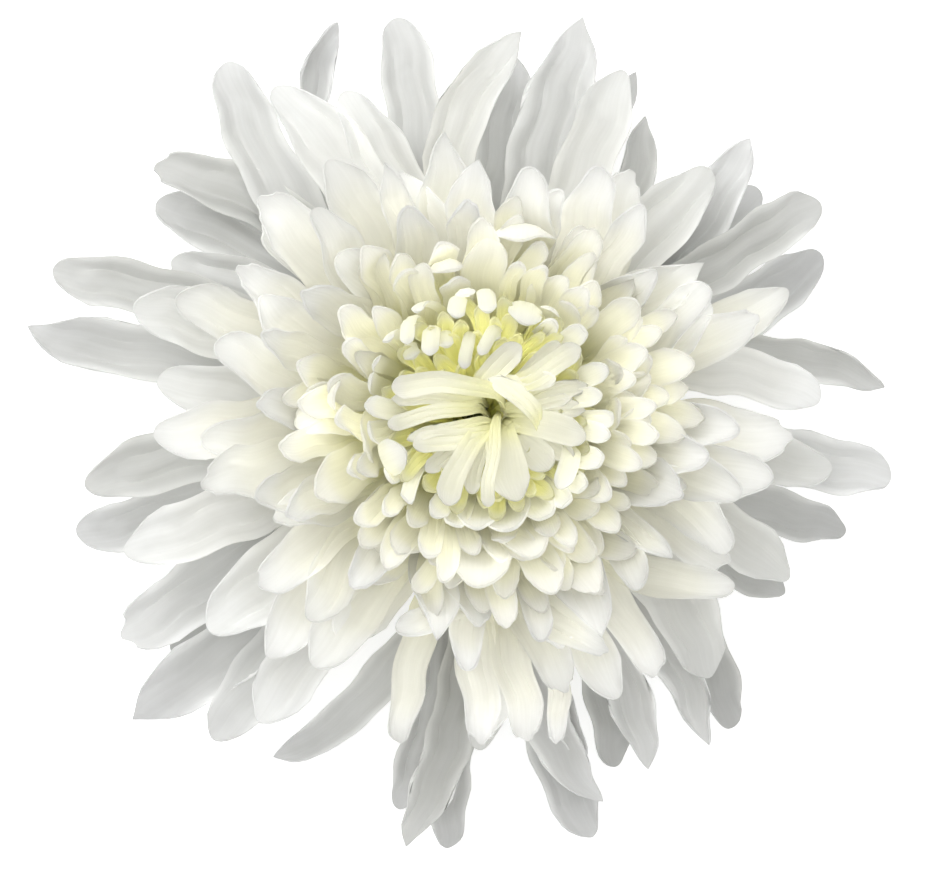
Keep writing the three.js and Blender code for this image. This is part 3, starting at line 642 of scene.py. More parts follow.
# %% [markdown]
# ## Bending a floret into place
# A real floret leaves the dome at its own angle, arches over and arrives at its tip at another. A Bezier
# curve object could be drawn for each, but the florets are many, and a cubic curve worked out from those
# two directions does the same.

# %% The centre line
LEAVING, ARRIVING = 0.4, 0.42


def direction(azimuth, elevation):
    """Unit direction from a bearing and a height angle in degrees."""
    azimuth, elevation = np.radians(azimuth), np.radians(elevation)
    flat = np.cos(elevation)
    return np.stack(np.broadcast_arrays(
        flat * np.cos(azimuth), flat * np.sin(azimuth), np.sin(elevation)), axis=-1)


def smooth(low, high, value):
    share = np.clip((value - low) / (high - low), 0, 1)
    return share * share * (3 - 2 * share)


def at_age(measure, floret):
    return measure["oldest"] + measure["change"] * floret["age"]


def root_point(floret):
    latitude = math.asin(floret["climb"])
    place = direction(floret["azimuth"], 0) * RECEPTACLE["radius"] * math.cos(latitude)
    place[2] = RECEPTACLE["base"] + RECEPTACLE["height"] * math.sin(latitude)
    return place


def centre_line(root, floret):
    """Four control points of the curve from root to tip."""
    tip = direction(floret["tip_azimuth"], 0) * floret["reach"]
    tip[2] = floret["tip_height"]
    span = np.linalg.norm(tip - root)
    leaving = direction(floret["azimuth"], floret["launch"]) * floret.get("rise", LEAVING) * span
    arriving = direction(floret["tip_azimuth"] + floret["lean"], floret["arrive"]) * ARRIVING * span
    return root, root + leaving, tip - arriving, tip


def along_line(line, share):
    """Places and unit directions on the curve at the given shares of its length."""
    a, b, c, d = line
    t = share[:, None]
    place = (1 - t) ** 3 * a + 3 * (1 - t) ** 2 * t * b + 3 * (1 - t) * t**2 * c + t**3 * d
    heading = (1 - t) ** 2 * (b - a) + 2 * (1 - t) * t * (c - b) + t**2 * (d - c)
    return place, heading / np.linalg.norm(heading, axis=1, keepdims=True)


print("a floret's line has", len(centre_line(root_point(GUARDS[0]), GUARDS[0])), "control points")

# %% [markdown]
# ## The blade along the line
# At each point of the line the blade is arched across like a gutter, deep at the root and open further
# out, with two shallow lengthwise grooves and edges that wave a little. The tip may roll up or down, and
# some blades fold into a keel. A bend modifier can't do all of this at once, so the places are worked
# out for the whole pattern together.

# %% The blade
LONGEST_TIP = 0.45
ROOT_WIDTH = 0.26
ROOT_CUP = 70
GROOVE_PLACE, GROOVE_SPREAD = 0.38, 0.15


def blade(line, floret, finish, across, along):
    """Places of a flat pattern's vertices once it is bent, in millimetres."""
    span = np.linalg.norm(line[3] - line[0])
    tip_share = min(LONGEST_TIP, at_age(TIP_LENGTH, floret) * floret["width"] / span)
    shoulder = 1 - TIP_ZONE
    share = np.where(
        along < shoulder,
        along / shoulder * (1 - tip_share),
        1 - tip_share + (along - shoulder) / TIP_ZONE * tip_share,
    )
    place, forward = along_line(line, share)
    facing = floret.get("facing", floret["azimuth"])
    turn = floret["tip_azimuth"] + floret["lean"] - facing
    side = direction(facing + turn * share + 90, 0)
    side -= (side * forward).sum(1, keepdims=True) * forward
    side /= np.linalg.norm(side, axis=1, keepdims=True)
    up = np.cross(forward, side)
    roll = np.radians(floret["roll"]) * share**1.5
    side, up = (
        side * np.cos(roll)[:, None] + up * np.sin(roll)[:, None],
        up * np.cos(roll)[:, None] - side * np.sin(roll)[:, None],
    )
    bend = finish["sway"] * np.sin(math.pi * share) * smooth(0.2, 0.7, share)
    bend += finish["skew"] * floret["width"] * smooth(0.6, 1, share)
    place = place + side * bend[:, None]
    widening = smooth(0.05, at_age(WIDEST, floret), share)
    width = floret["width"] * (ROOT_WIDTH + (1 - ROOT_WIDTH) * widening)
    arc = floret["cup"] + (ROOT_CUP - floret["cup"]) * (1 - smooth(0, 0.5, share))
    if floret["fold"]:
        arc = arc + (floret["fold"] - arc) * smooth(0.45, 0.9, share)
    arc = arc + finish["spoon"] * smooth(1 - 1.5 * tip_share, 1, share)
    arc = np.radians(arc)
    radius = width / 2 / arc
    lift = radius * (1 - np.cos(arc * across))
    groove = np.exp(-(((np.abs(across) - GROOVE_PLACE) / GROOVE_SPREAD) ** 2))
    lift -= finish["groove"] * groove * smooth(0.15, 0.4, share) * (1 - smooth(0.86, 1, share))
    phase = np.where(across < 0, finish["phase"], finish["phase"] + 2.1)
    wave = np.sin(2 * math.pi * finish["waves"] * share + phase)
    lift += finish["wave"] * np.abs(across) ** 3 * wave * smooth(0.3, 0.7, share)
    lift -= finish["hem"] * smooth(0.7, 1, np.abs(across)) * smooth(0.3, 0.6, share)
    lift += finish["lip"] * smooth(1 - 1.6 * tip_share, 1, share) ** 2 * (0.6 + 0.4 * across**2)
    return place + side * (radius * np.sin(arc * across))[:, None] + up * lift[:, None]


print("cup of a blade at its root:", ROOT_CUP, "degrees each way")

# %% [markdown]
# ## Keeping rings apart
# Two limits keep the florets honest. White florets stay outside a bowl round the eye and the young ones
# stay inside it, as on the solid model. The drooping guards stop at the surface that the head lies on.

# %% Limits
BOWL = np.array([(6.2, 26.6), (10.5, 30.5), (14, 36), (16.4, 45)])
BOWL_CLEARANCE = {"inside": 0.3, "outside": 1.2}
LOWEST_PETAL = 0.35


def move_to_radius(places, radius, moved):
    here = np.hypot(places[:, 0], places[:, 1])
    factor = np.where(moved, radius / np.maximum(here, 1e-6), 1)
    places[:, :2] *= factor[:, None]
    return places


def bowl_radius(height):
    slope = (BOWL[-1, 0] - BOWL[-2, 0]) / (BOWL[-1, 1] - BOWL[-2, 1])
    above = np.maximum(0, height - BOWL[-1, 1]) * slope
    return np.interp(height, BOWL[:, 1], BOWL[:, 0]) + above


def keep_outside(places):
    places[:, 2] = np.maximum(places[:, 2], LOWEST_PETAL)
    limit = bowl_radius(places[:, 2]) + BOWL_CLEARANCE["outside"]
    here = np.hypot(places[:, 0], places[:, 1])
    return move_to_radius(places, limit, (places[:, 2] > BOWL[0, 1]) & (here < limit))


def keep_inside(places):
    limit = bowl_radius(places[:, 2]) - BOWL_CLEARANCE["inside"]
    return move_to_radius(places, limit, np.hypot(places[:, 0], places[:, 1]) > limit)


print("bowl radius at the top of the head:", round(float(bowl_radius(np.array([45.0]))[0]), 1), "mm")

# %% [markdown]
# ## Growing one floret
# Each floret is a copy of one of the flat patterns with a mesh of its own, bent into place. It carries a
# number of its own, which the petal finish reads. Neighbours press each other out of true in the same
# direction, as they do where they are crowded.

# %% Grow a floret
detail = Draw(7919)


def own_copy(pattern):
    """A copy of a pattern with a mesh of its own, and its flat places."""
    copy = pattern.copy()
    copy.data = pattern.data.copy()
    bpy.context.collection.objects.link(copy)
    flat = np.zeros(len(copy.data.vertices) * 3)
    copy.data.vertices.foreach_get("co", flat)
    return copy, flat.reshape(-1, 3)


def uneven(places, amount):
    """Press petals gently out of true, neighbours together, as they crowd each other."""
    x, y, z = places.T
    push = np.stack([
        np.sin(0.83 * y + 0.41 * z + 1.3), np.sin(0.77 * x - 0.52 * z + 4.1),
        np.sin(0.69 * x + 0.91 * y) + 0.6 * np.sin(1.31 * x - 1.17 * y + 0.8),
    ], axis=-1)
    return places + amount * push


def grow_floret(floret, patterns, keep_clear, habit):
    """A copy of a pattern, bent into a floret."""
    drawn_tip = habit["tips"][int(detail(0, len(habit["tips"]) - 1e-6))]
    copy, flat = own_copy(patterns[floret.get("tip", drawn_tip)])
    finish = {
        "groove": habit["relief"] * detail(0.2, 0.8),
        "wave": habit["relief"] * detail(0.1, 0.75),
        "waves": detail(1.1, 2.6),
        "phase": detail(0, 6.28),
        "sway": detail(-1, 1) * habit["sway"],
        "skew": detail(-1, 1) * habit["skew"],
        "lip": detail(*habit["lip"]),
        "spoon": detail(*habit["spoon"]),
        "hem": habit["hem"],
    }
    line = centre_line(root_point(floret), floret)
    places = blade(line, floret, finish, flat[:, 0], flat[:, 1])
    places = keep_clear(uneven(places, habit["uneven"]))
    copy.data.vertices.foreach_set("co", (places * MM).ravel())
    tint = copy.data.attributes.new("tint", "FLOAT", "POINT")
    tint.data.foreach_set("value", np.full(len(flat), detail(0, 1)))
    return copy


print("detail drawn from seed", detail.state)

# %% [markdown]
# ## Joining and thickening a ring
# A ring's copies are joined into one piece, and Solidify gives them their thickness: about a third of a
# millimetre at the midrib and less at the edges. Extruding every face would do the same by hand, but
# the modifier keeps the sheet's middle where it is and reads the vertex group.

# %% Join and thicken
PETAL_THICKNESS = 0.42 * MM
EDGE_SHARE = 0.1


def join_pieces(name, copies):
    """One piece from many."""
    clear_selection()
    for copy in copies:
        copy.select_set(True)
    bpy.context.view_layer.objects.active = copies[0]
    bpy.ops.object.join()
    piece = bpy.context.object
    piece.name = name
    piece.data.name = name
    return piece


def thicken(piece, thickness):
    """Give a sheet its thickness, thinner towards the edges, and smooth it."""
    focus(piece)
    solidify = piece.modifiers.new("thickness", "SOLIDIFY")
    solidify.thickness = thickness
    solidify.offset = 0
    solidify.vertex_group = "thick"
    solidify.thickness_vertex_group = EDGE_SHARE
    bpy.ops.object.modifier_apply(modifier=solidify.name)
    bpy.ops.object.shade_smooth_by_angle(angle=math.radians(50))
    return piece


def ring(name, groups, patterns, keep_clear):
    """One piece from groups of florets, each with its own habit."""
    copies = [
        grow_floret(floret, patterns, keep_clear, habit) for florets, habit in groups for floret in florets
    ]
    piece = thicken(join_pieces(name, copies), PETAL_THICKNESS)
    triangles = sum(len(face.vertices) - 2 for face in piece.data.polygons)
    print(f"{name}: {len(copies)} florets, {triangles} triangles")
    return piece


print("petal thickness:", round(PETAL_THICKNESS / MM, 2), "mm at most")

# %% [markdown]
# ## The habits of the rings
# Old and young florets don't curl alike. The outer ones are grooved, notched and rolled at the tip, the
# inner ones are plain, rounded spoons, and those that bend over the eye end in smooth beads. Each habit
# gives the range from which a floret's own values are drawn.

# %% Habits
INNER_REACH = 27
low_guards = [floret for floret in GUARDS if floret["level"] < 2]
high_guards = [floret for floret in GUARDS if floret["level"] >= 2]
outer_body = [floret for floret in BODY + FILLERS if floret["reach"] > INNER_REACH]
inner_body = [floret for floret in BODY + FILLERS if floret["reach"] <= INNER_REACH]

# How each ring departs from a plain blade: kinds of tip, relief, sway, skewed tip, uneven places, lip,
# spoon and hem.
GUARD_HABIT = {
    "tips": OUTER_TIPS, "relief": 1.3, "sway": 1.8, "skew": 0.16, "uneven": 0.25,
    "lip": (-2, 3.6), "spoon": (10, 48), "hem": 0.1,
}
BODY_HABIT = {
    "tips": OUTER_TIPS, "relief": 0.9, "sway": 1.6, "skew": 0.3, "uneven": 0.25,
    "lip": (0.8, 4), "spoon": (8, 44), "hem": 0.1,
}
INNER_HABIT = {
    "tips": INNER_TIPS, "relief": 0.3, "sway": 0.7, "skew": 0.12, "uneven": 0.25,
    "lip": (0, 0.9), "spoon": (0, 26), "hem": 0,
}
EYE_HABIT = {
    "tips": INNER_TIPS, "relief": 0.5, "sway": 0.5, "skew": 0.2, "uneven": 0.18,
    "lip": (0, 0.5), "spoon": (0, 16), "hem": 0,
}
BEAD_HABIT = {
    "tips": (ROUND,), "relief": 0.1, "sway": 0.2, "skew": 0.06, "uneven": 0.1,
    "lip": (-0.4, 0), "spoon": (8, 24), "hem": 0,
}
print("low and high guards:", len(low_guards), len(high_guards))
print("outer and inner body:", len(outer_body), len(inner_body))

# %% [markdown]
# ## The rings of petals
# The head is made of a few rings, not one, because the petals change colour and glow from ring to ring.
# White florets take the wide pattern or the slim one by their size. Those inside the bowl are the young.

# %% Grow the rings
guard_ring = ring("guard_petals", [(low_guards, GUARD_HABIT)], PATTERNS["wide"], keep_outside)
shoulder_ring = ring("shoulder_petals", [(high_guards, GUARD_HABIT)], PATTERNS["wide"], keep_outside)
lower_body = ring("lower_petals", [(outer_body, BODY_HABIT)], PATTERNS["wide"], keep_outside)
upper_body = ring("upper_petals", [(inner_body, INNER_HABIT)], PATTERNS["slim"], keep_outside)
rim_ring = ring("rim_petals", [(RIM, EYE_HABIT), (INCURVED, BEAD_HABIT)], PATTERNS["slim"], keep_inside)
centre = ring("centre_petals", [(EYE, EYE_HABIT)], PATTERNS["slim"], keep_inside)
NESTED = list(nested_florets(detail))
nested = ring("nested_petals", [(NESTED, INNER_HABIT)], PATTERNS["slim"], keep_outside)
TUFT = list(tuft_florets(detail))
tuft = ring("young_petals", [(TUFT, EYE_HABIT)], PATTERNS["slim"], keep_inside)

# %% [markdown]
# ## The receptacle
# Under the petals is the dome that they are rooted in. Little of it shows, only a green depth at the
# eye. A sphere cut in half and flattened gives the dome. Each of its faces is inset and pushed in a
# little, like the sockets that are left where florets are pulled out.

# %% Model the receptacle
PETAL_ROOT_DEPTH = 0.4
SOCKET = {"rim": 0.18, "depth": 0.2}


def receptacle():
    radius = (RECEPTACLE["radius"] - PETAL_ROOT_DEPTH) * MM
    clear_selection()
    bpy.ops.mesh.primitive_uv_sphere_add(segments=32, ring_count=20, radius=radius)
    dome = bpy.context.object
    dome.name = "receptacle"
    bpy.ops.object.mode_set(mode="EDIT")
    bpy.ops.mesh.select_all(action="SELECT")
    bpy.ops.mesh.bisect(plane_co=(0, 0, -1 * MM), plane_no=(0, 0, 1), use_fill=True, clear_inner=True)
    bpy.ops.mesh.select_all(action="SELECT")
    squash = RECEPTACLE["height"] / RECEPTACLE["radius"]
    bpy.ops.transform.resize(value=(1, 1, squash), center_override=(0, 0, 0))
    bpy.ops.transform.translate(value=(0, 0, RECEPTACLE["base"] * MM))
    pick_vertices(dome, lambda place: place.z > RECEPTACLE["base"] * MM)
    bpy.ops.mesh.select_mode(type="FACE")
    bpy.ops.mesh.inset(thickness=SOCKET["rim"] * MM, depth=-SOCKET["depth"] * MM, use_individual=True)
    bpy.ops.object.mode_set(mode="OBJECT")
    bpy.ops.object.shade_smooth()
    print("receptacle:", len(dome.data.polygons), "faces")
    return dome


dome = receptacle()

# %% [markdown]
# ## The involucre
# A shallow green cup holds the bloom from below. It could be a squashed sphere, but its foot is narrow
# and its brim flares, so it is a profile spun round the axis.

# %% Model the cup
CUP_PROFILE = [
    (0, 6.2), (3.1, 6.2), (4.2, 6.5), (5.6, 7.2), (7.4, 8.4), (9, 9.6), (10.4, 10.9), (8, 11), (0, 11),
]


def spun_cup():
    """Spin the cup's profile into a closed solid."""
    clear_selection()
    bpy.ops.mesh.primitive_plane_add(size=1 * MM)
    cup = bpy.context.object
    cup.name = "involucre_cup"
    bpy.ops.object.mode_set(mode="EDIT")
    bpy.ops.mesh.delete(type="VERT")
    cage = bmesh.from_edit_mesh(cup.data)
    points = [cage.verts.new((radius * MM, 0, height * MM)) for radius, height in CUP_PROFILE]
    for first, second in zip(points, points[1:]):
        cage.edges.new((first, second))
    bmesh.update_edit_mesh(cup.data)
    bpy.ops.mesh.select_all(action="SELECT")
    bpy.ops.mesh.spin(steps=40, angle=2 * math.pi, center=(0, 0, 0), axis=(0, 0, 1))
    bpy.ops.mesh.select_all(action="SELECT")
    bpy.ops.mesh.remove_doubles(threshold=0.01 * MM)
    bpy.ops.mesh.normals_make_consistent(inside=False)
    bpy.ops.object.mode_set(mode="OBJECT")
    bpy.ops.object.shade_smooth()
    return cup


cup = spun_cup()
print("cup:", len(cup.data.polygons), "faces")

# %% [markdown]
# ## The bracts
# Overlapping pointed bracts with thin, pale edges cover the cup. They are small blades, so they are bent
# by the same rule as the florets, from one pointed pattern, and set out in three rows.

# %% Model the bracts
BRACT_ROWS = [
    {"count": 11, "root_radius": 4, "root_height": 6.7, "reach": 9.8, "tip_height": 8.2, "width": 3.2},
    {"count": 14, "root_radius": 6, "root_height": 7.8, "reach": 12, "tip_height": 9.4, "width": 3.3},
    {"count": 18, "root_radius": 8, "root_height": 9.4, "reach": 14, "tip_height": 10.4, "width": 3.3},
]
BRACT_THICKNESS = 0.5 * MM
ROW_TURN = 11
STILL = {
    "groove": 0.06, "wave": 0.1, "waves": 1.0, "phase": 0.0, "sway": 0.0, "skew": 0.0, "lip": 0.0,
    "spoon": 0.0, "hem": 0.0,
}


def bracts():
    pattern = flat_floret("bract_pattern", 6, 10, point=0.9, taper=0.5)
    copies = []
    for row_index, row in enumerate(BRACT_ROWS):
        for index in range(row["count"]):
            azimuth = row_index * ROW_TURN + 360 * index / row["count"] + detail(-3, 3)
            rise, run = row["tip_height"] - row["root_height"], row["reach"] - row["root_radius"]
            slope = math.degrees(math.atan2(rise, run))
            shape = dict(
                azimuth=azimuth, tip_azimuth=azimuth, reach=row["reach"] + detail(-0.4, 0.3), lean=0,
                width=row["width"], launch=slope + 12, arrive=slope - 8 + detail(-6, 4),
                tip_height=row["tip_height"], roll=0, cup=30, fold=0, age=0,
            )
            root = direction(azimuth, 0) * row["root_radius"]
            root[2] = row["root_height"]
            copy, flat = own_copy(pattern)
            places = blade(centre_line(root, shape), shape, STILL, flat[:, 0], flat[:, 1])
            copy.data.vertices.foreach_set("co", (places * MM).ravel())
            copies.append(copy)
    bpy.data.objects.remove(pattern)
    piece = thicken(join_pieces("bracts", copies), BRACT_THICKNESS)
    print("bracts:", len(copies), "in", len(BRACT_ROWS), "rows")
    return piece


bract_piece = bracts()

# %% [markdown]
# ## The stem stub
# The stem is cut straight across just under the head. It is ribbed and a little wider where it meets the
# cup, and its cut face shows a firm green ring round a paler, slightly sunken pith. Here it is a straight
# stub of one green: a cylinder with six of its edges drawn in for the grooves between the ribs, and a cut
# face inset twice, so that the pith sits a little lower than the ring round it.

# %% Model the stem
STEM = {"radius": 2.9, "groove": 0.3, "ribs": 6, "top": 5.9}
CUT_FACE = {"ring": 0.5, "step": 0.15, "pith_depth": 0.25}
SOFT_EDGE = 0.12


def stem_stub():
    corners = STEM["ribs"] * 4
    height = STEM["top"] * MM
    clear_selection()
    bpy.ops.mesh.primitive_cylinder_add(
        vertices=corners, radius=STEM["radius"] * MM, depth=height, location=(0, 0, height / 2))
    stub = bpy.context.object
    stub.name = "stem_stub"
    bpy.ops.object.transform_apply(location=True, rotation=True, scale=True)
    for rib in range(STEM["ribs"]):
        groove_angle = math.radians((rib + 0.5) * 360 / STEM["ribs"])
        axis = Vector((math.sin(groove_angle), math.cos(groove_angle), 0))
        pick_vertices(stub, lambda place: place.xy.normalized().dot(axis.xy) > math.cos(math.radians(8)))
        bpy.ops.transform.translate(value=tuple(-axis * STEM["groove"] * MM))
    pick_vertices(stub, lambda place: place.z < 0.1 * MM)
    bpy.ops.mesh.select_mode(type="FACE")
    bpy.ops.mesh.inset(thickness=CUT_FACE["ring"] * MM, depth=0)
    bpy.ops.mesh.inset(thickness=CUT_FACE["step"] * MM, depth=-CUT_FACE["pith_depth"] * MM)
    bpy.ops.mesh.select_all(action="SELECT")
    bpy.ops.mesh.normals_make_consistent(inside=False)
    bpy.ops.object.mode_set(mode="OBJECT")
    focus(stub)
    bevel = stub.modifiers.new("soft_edges", "BEVEL")
    bevel.width = SOFT_EDGE * MM
    bevel.segments = 2
    bevel.limit_method = "ANGLE"
    bevel.angle_limit = math.radians(50)
    bpy.ops.object.modifier_apply(modifier=bevel.name)
    bpy.ops.object.shade_smooth_by_angle(angle=math.radians(40))
    print("stem stub:", len(stub.data.polygons), "faces")
    return stub


stub = stem_stub()
for patterns in PATTERNS.values():
    for pattern in patterns:
        bpy.data.objects.remove(pattern)

# %% [markdown]
# ## Helpers for finishes
# A finish is a tree of nodes. They could be placed one by one in the Shader Editor. In code a few helpers
# that add a node, a ramp or a mix keep each finish short enough to read.

# %% Node helpers
def new_finish(name):
    """A new material, its node tree and its shader."""
    material = bpy.data.materials.new(name)
    material.use_nodes = True
    return material, material.node_tree, material.node_tree.nodes["Principled BSDF"]


def node(tree, kind, place, **values):
    """Add a node and set its plain values."""
    made = tree.nodes.new(kind)
    made.location = place
    for name, value in values.items():
        if hasattr(made, name):
            setattr(made, name, value)
        else:
            made.inputs[name.replace("_", " ")].default_value = value
    return made


def ramp(tree, place, stops, source):
    """A colour ramp fed by source. Stops are (position, colour)."""
    made = node(tree, "ShaderNodeValToRGB", place)
    made.color_ramp.interpolation = "EASE"
    while len(made.color_ramp.elements) < len(stops):
        made.color_ramp.elements.new(0.5)
    for element, (position, colour) in zip(made.color_ramp.elements, stops):
        element.position = position
        element.color = (*colour, 1)
    tree.links.new(source, made.inputs["Fac"])
    return made.outputs["Color"]


def mixed(tree, place, factor, first, second, blend="MIX"):
    """Mix two colours, each a socket or a plain colour."""
    made = node(tree, "ShaderNodeMix", place, data_type="RGBA", blend_type=blend)
    for socket, value in ((made.inputs[0], factor), (made.inputs[6], first), (made.inputs[7], second)):
        if isinstance(value, bpy.types.NodeSocket):
            tree.links.new(value, socket)
        else:
            socket.default_value = (*value, 1) if isinstance(value, tuple) else value
    return made.outputs[2]


def grey(value):
    return value, value, value


def bumped(tree, height, distance, strength=1.0):
    bump = node(tree, "ShaderNodeBump", (100, -400), Strength=strength, Distance=distance)
    tree.links.new(height, bump.inputs["Height"])
    return bump.outputs["Normal"]


print("node helpers ready")

# %% [markdown]
# ## Streaks that follow a blade
# Fine veins run along every petal and bract, with faint streaks between them. A texture laid over the
# whole head would cut across the blades, so the pattern follows each blade's own map, which is the flat
# pattern that it was bent from. One node group makes it, and both petals and bracts use it. A number
# drawn for each floret moves the pattern, so that no two petals carry the same streaks.

# %% Shared streaks
VEIN_DEPTH = 0.05 * MM


def streak_group():
    """Lengthwise streaks and veins that follow a blade's own UV map."""
    group = bpy.data.node_groups.new("blade_streaks", "ShaderNodeTree")
    group.interface.new_socket("Across", in_out="INPUT", socket_type="NodeSocketFloat")
    group.interface.new_socket("Along", in_out="INPUT", socket_type="NodeSocketFloat")
    group.interface.new_socket("Tint", in_out="INPUT", socket_type="NodeSocketFloat")
    group.interface.new_socket("Streaks", in_out="OUTPUT", socket_type="NodeSocketFloat")
    group.interface.new_socket("Veins", in_out="OUTPUT", socket_type="NodeSocketFloat")
    inputs = node(group, "NodeGroupInput", (-800, 0))
    outputs = node(group, "NodeGroupOutput", (400, 0))
    place = node(group, "ShaderNodeCombineXYZ", (-600, 0))
    group.links.new(inputs.outputs["Across"], place.inputs[0])
    group.links.new(inputs.outputs["Along"], place.inputs[1])
    group.links.new(inputs.outputs["Tint"], place.inputs[2])
    stretch = node(group, "ShaderNodeMapping", (-400, 100))
    stretch.inputs["Scale"].default_value = (22, 1.6, 40)
    group.links.new(place.outputs[0], stretch.inputs["Vector"])
    streaks = node(group, "ShaderNodeTexNoise", (-200, 100), Scale=1.0, Detail=3.0, Roughness=0.6)
    group.links.new(stretch.outputs[0], streaks.inputs["Vector"])
    veins = node(group, "ShaderNodeTexWave", (-200, -200), wave_type="BANDS", bands_direction="X")
    veins.inputs["Scale"].default_value = 3.2
    veins.inputs["Distortion"].default_value = 0.6
    veins.inputs["Detail"].default_value = 1.0
    group.links.new(place.outputs[0], veins.inputs["Vector"])
    group.links.new(streaks.outputs["Fac"], outputs.inputs["Streaks"])
    group.links.new(veins.outputs["Fac"], outputs.inputs["Veins"])
    return group


STREAKS = streak_group()


def blade_sockets(tree):
    """The blade's own coordinates and its streaks, ready to wire."""
    uv = node(tree, "ShaderNodeUVMap", (-1200, 0))
    split = node(tree, "ShaderNodeSeparateXYZ", (-1000, 0))
    tree.links.new(uv.outputs[0], split.inputs[0])
    tint = node(tree, "ShaderNodeAttribute", (-1200, -300), attribute_name="tint")
    streaks = node(tree, "ShaderNodeGroup", (-800, 0))
    streaks.node_tree = STREAKS
    tree.links.new(split.outputs[0], streaks.inputs["Across"])
    tree.links.new(split.outputs[1], streaks.inputs["Along"])
    tree.links.new(tint.outputs["Fac"], streaks.inputs["Tint"])
    return split.outputs[0], split.outputs[1], tint.outputs["Fac"], streaks


print("shared group:", STREAKS.name)

# %% [markdown]
# ## Petal finishes
# A petal is never one colour. It is whitest at the tip, creamier lower down and in the younger florets, and
# yellow-green at the root. On the guards and shoulder petals the root is also painted darker, as shade
# under the petals that lie over it. The lowest petals, which are the oldest, are painted greyer towards the
# foot of the head as shade, and some in each ring are duller than their neighbours. On the outer rings a
# painted shade runs along the middle of each blade and a painted highlight along its edges. The blade is a
# thin wet sheet that lets light through, which fills the shadows between petals with a soft glow.
# Translucent shading alone draws a dark line round every crowded sheet, so only part of the light goes
# through the blade and the rest is plain, matte reflection. Each ring of petals takes the same material
# with its own values.

# %% Petal finish
# Painted shade: petals are darker towards the foot of the head, where they lie in its shade.
SHADE_PAINTED_BELOW = 20 * MM
PAINTED_LOW_SHADE = [(0, grey(0.72)), (0.4, (0.9, 0.9, 0.895)), (0.9, grey(1))]
STREAK_SHADES = [(0.3, (0.965, 0.965, 0.96)), (0.7, grey(1))]


def height_in_head(tree):
    """Height on the head, from 0 at its foot to 1 where the painted shade on the low petals ends."""
    place = node(tree, "ShaderNodeTexCoord", (-1200, -600))
    axes = node(tree, "ShaderNodeSeparateXYZ", (-1000, -600))
    tree.links.new(place.outputs["Object"], axes.inputs[0])
    level = node(tree, "ShaderNodeMath", (-800, -600), operation="MULTIPLY")
    level.inputs[1].default_value = 1 / SHADE_PAINTED_BELOW
    tree.links.new(axes.outputs[2], level.inputs[0])
    return level.outputs[0]


def petal_material(name, tip, middle, base, base_reach, depth, glow, painted_hollow_and_rim, dullest):
    """Petal: its colours, how far up the base colour shows, how deep light goes and how much of it, the
    painted shade along its middle and painted highlight at its edges, and the shade of the ring's dullest
    petal."""
    material, tree, shader = new_finish(name)
    across, along, tint, streaks = blade_sockets(tree)
    colour = ramp(tree, (-600, 300), [(0, base), (base_reach, base), (0.62, middle), (0.96, tip)], along)
    midrib, edge = painted_hollow_and_rim
    layers = [
        (STREAK_SHADES, streaks.outputs["Streaks"]),
        # Painted shade along the middle of the blade and painted highlight at its edges.
        ([(0, grey(edge)), (0.18, grey(midrib)), (0.82, grey(midrib)), (1, grey(edge))], across),
        # Painted shade by height on the head.
        (PAINTED_LOW_SHADE, height_in_head(tree)),
        ([(0, (dullest, dullest, dullest * 0.98)), (1, grey(1))], tint),
    ]
    for index, (stops, source) in enumerate(layers):
        layer = ramp(tree, (-600, -300 * index), stops, source)
        colour = mixed(tree, (-300 + 100 * index, 200), 1.0, colour, layer, "MULTIPLY")
    tree.links.new(colour, shader.inputs["Base Color"])
    tree.links.new(bumped(tree, streaks.outputs["Veins"], VEIN_DEPTH, 0.2), shader.inputs["Normal"])
    shader.subsurface_method = "BURLEY"
    shader.inputs["Roughness"].default_value = 0.55
    shader.inputs["Subsurface Weight"].default_value = glow
    shader.inputs["Subsurface Radius"].default_value = (1.0, 1.0, 1.0)
    shader.inputs["Subsurface Scale"].default_value = depth * MM
    shader.inputs["Specular IOR Level"].default_value = 0.3
    return material


print("petals are painted_darker below", round(SHADE_PAINTED_BELOW / MM), "mm")

# %% [markdown]
# ## One finish for each ring
# The guards are a cool white and let the least light through. Each ring further in is creamier, and the
# young florets in the depth of the eye are yellow-green. A table keeps the rings easy to compare.

# %% Finish the rings
# Tip, middle and base colour, reach of the base colour, depth and share of the light that goes inside,
# painted shade of the midrib and painted highlight of the edge, and the shade of the dullest petal.
PETAL_FINISHES = {
    # The guard and shoulder base colours are darker than their tips: painted shade under the petals that
    # lie over their roots.
    "guard_petal": (
        (0.88, 0.885, 0.88), (0.81, 0.815, 0.80), (0.58, 0.58, 0.55), 0.15, 2, 0.35, (0.89, 1.12), 0.84),
    "shoulder_petal": (
        (0.87, 0.875, 0.865), (0.84, 0.84, 0.815), (0.68, 0.675, 0.62), 0.2, 3, 0.45, (0.92, 1.09), 0.88),
    "lower_petal": (
        (0.81, 0.81, 0.79), (0.81, 0.80, 0.72), (0.92, 0.90, 0.68), 0.25, 8, 0.55, (0.95, 1.04), 0.9),
    "upper_petal": (
        (0.935, 0.925, 0.865), (0.98, 0.965, 0.80), (1.0, 0.985, 0.64), 0.35, 8, 0.6, (1, 1), 0.97),
    "rim_petal": (
        (0.92, 0.915, 0.86), (0.97, 0.96, 0.80), (1.0, 0.985, 0.60), 0.35, 8, 0.6, (1, 1), 0.97),
    "centre_petal": (
        (0.835, 0.825, 0.75), (0.80, 0.79, 0.66), (0.76, 0.75, 0.48), 0.4, 8, 0.55, (0.98, 1.02), 0.96),
    "young_petal": (
        (0.94, 0.925, 0.62), (0.92, 0.905, 0.42), (0.88, 0.87, 0.34), 0.4, 12, 0.7, (1, 1), 0.96),
}
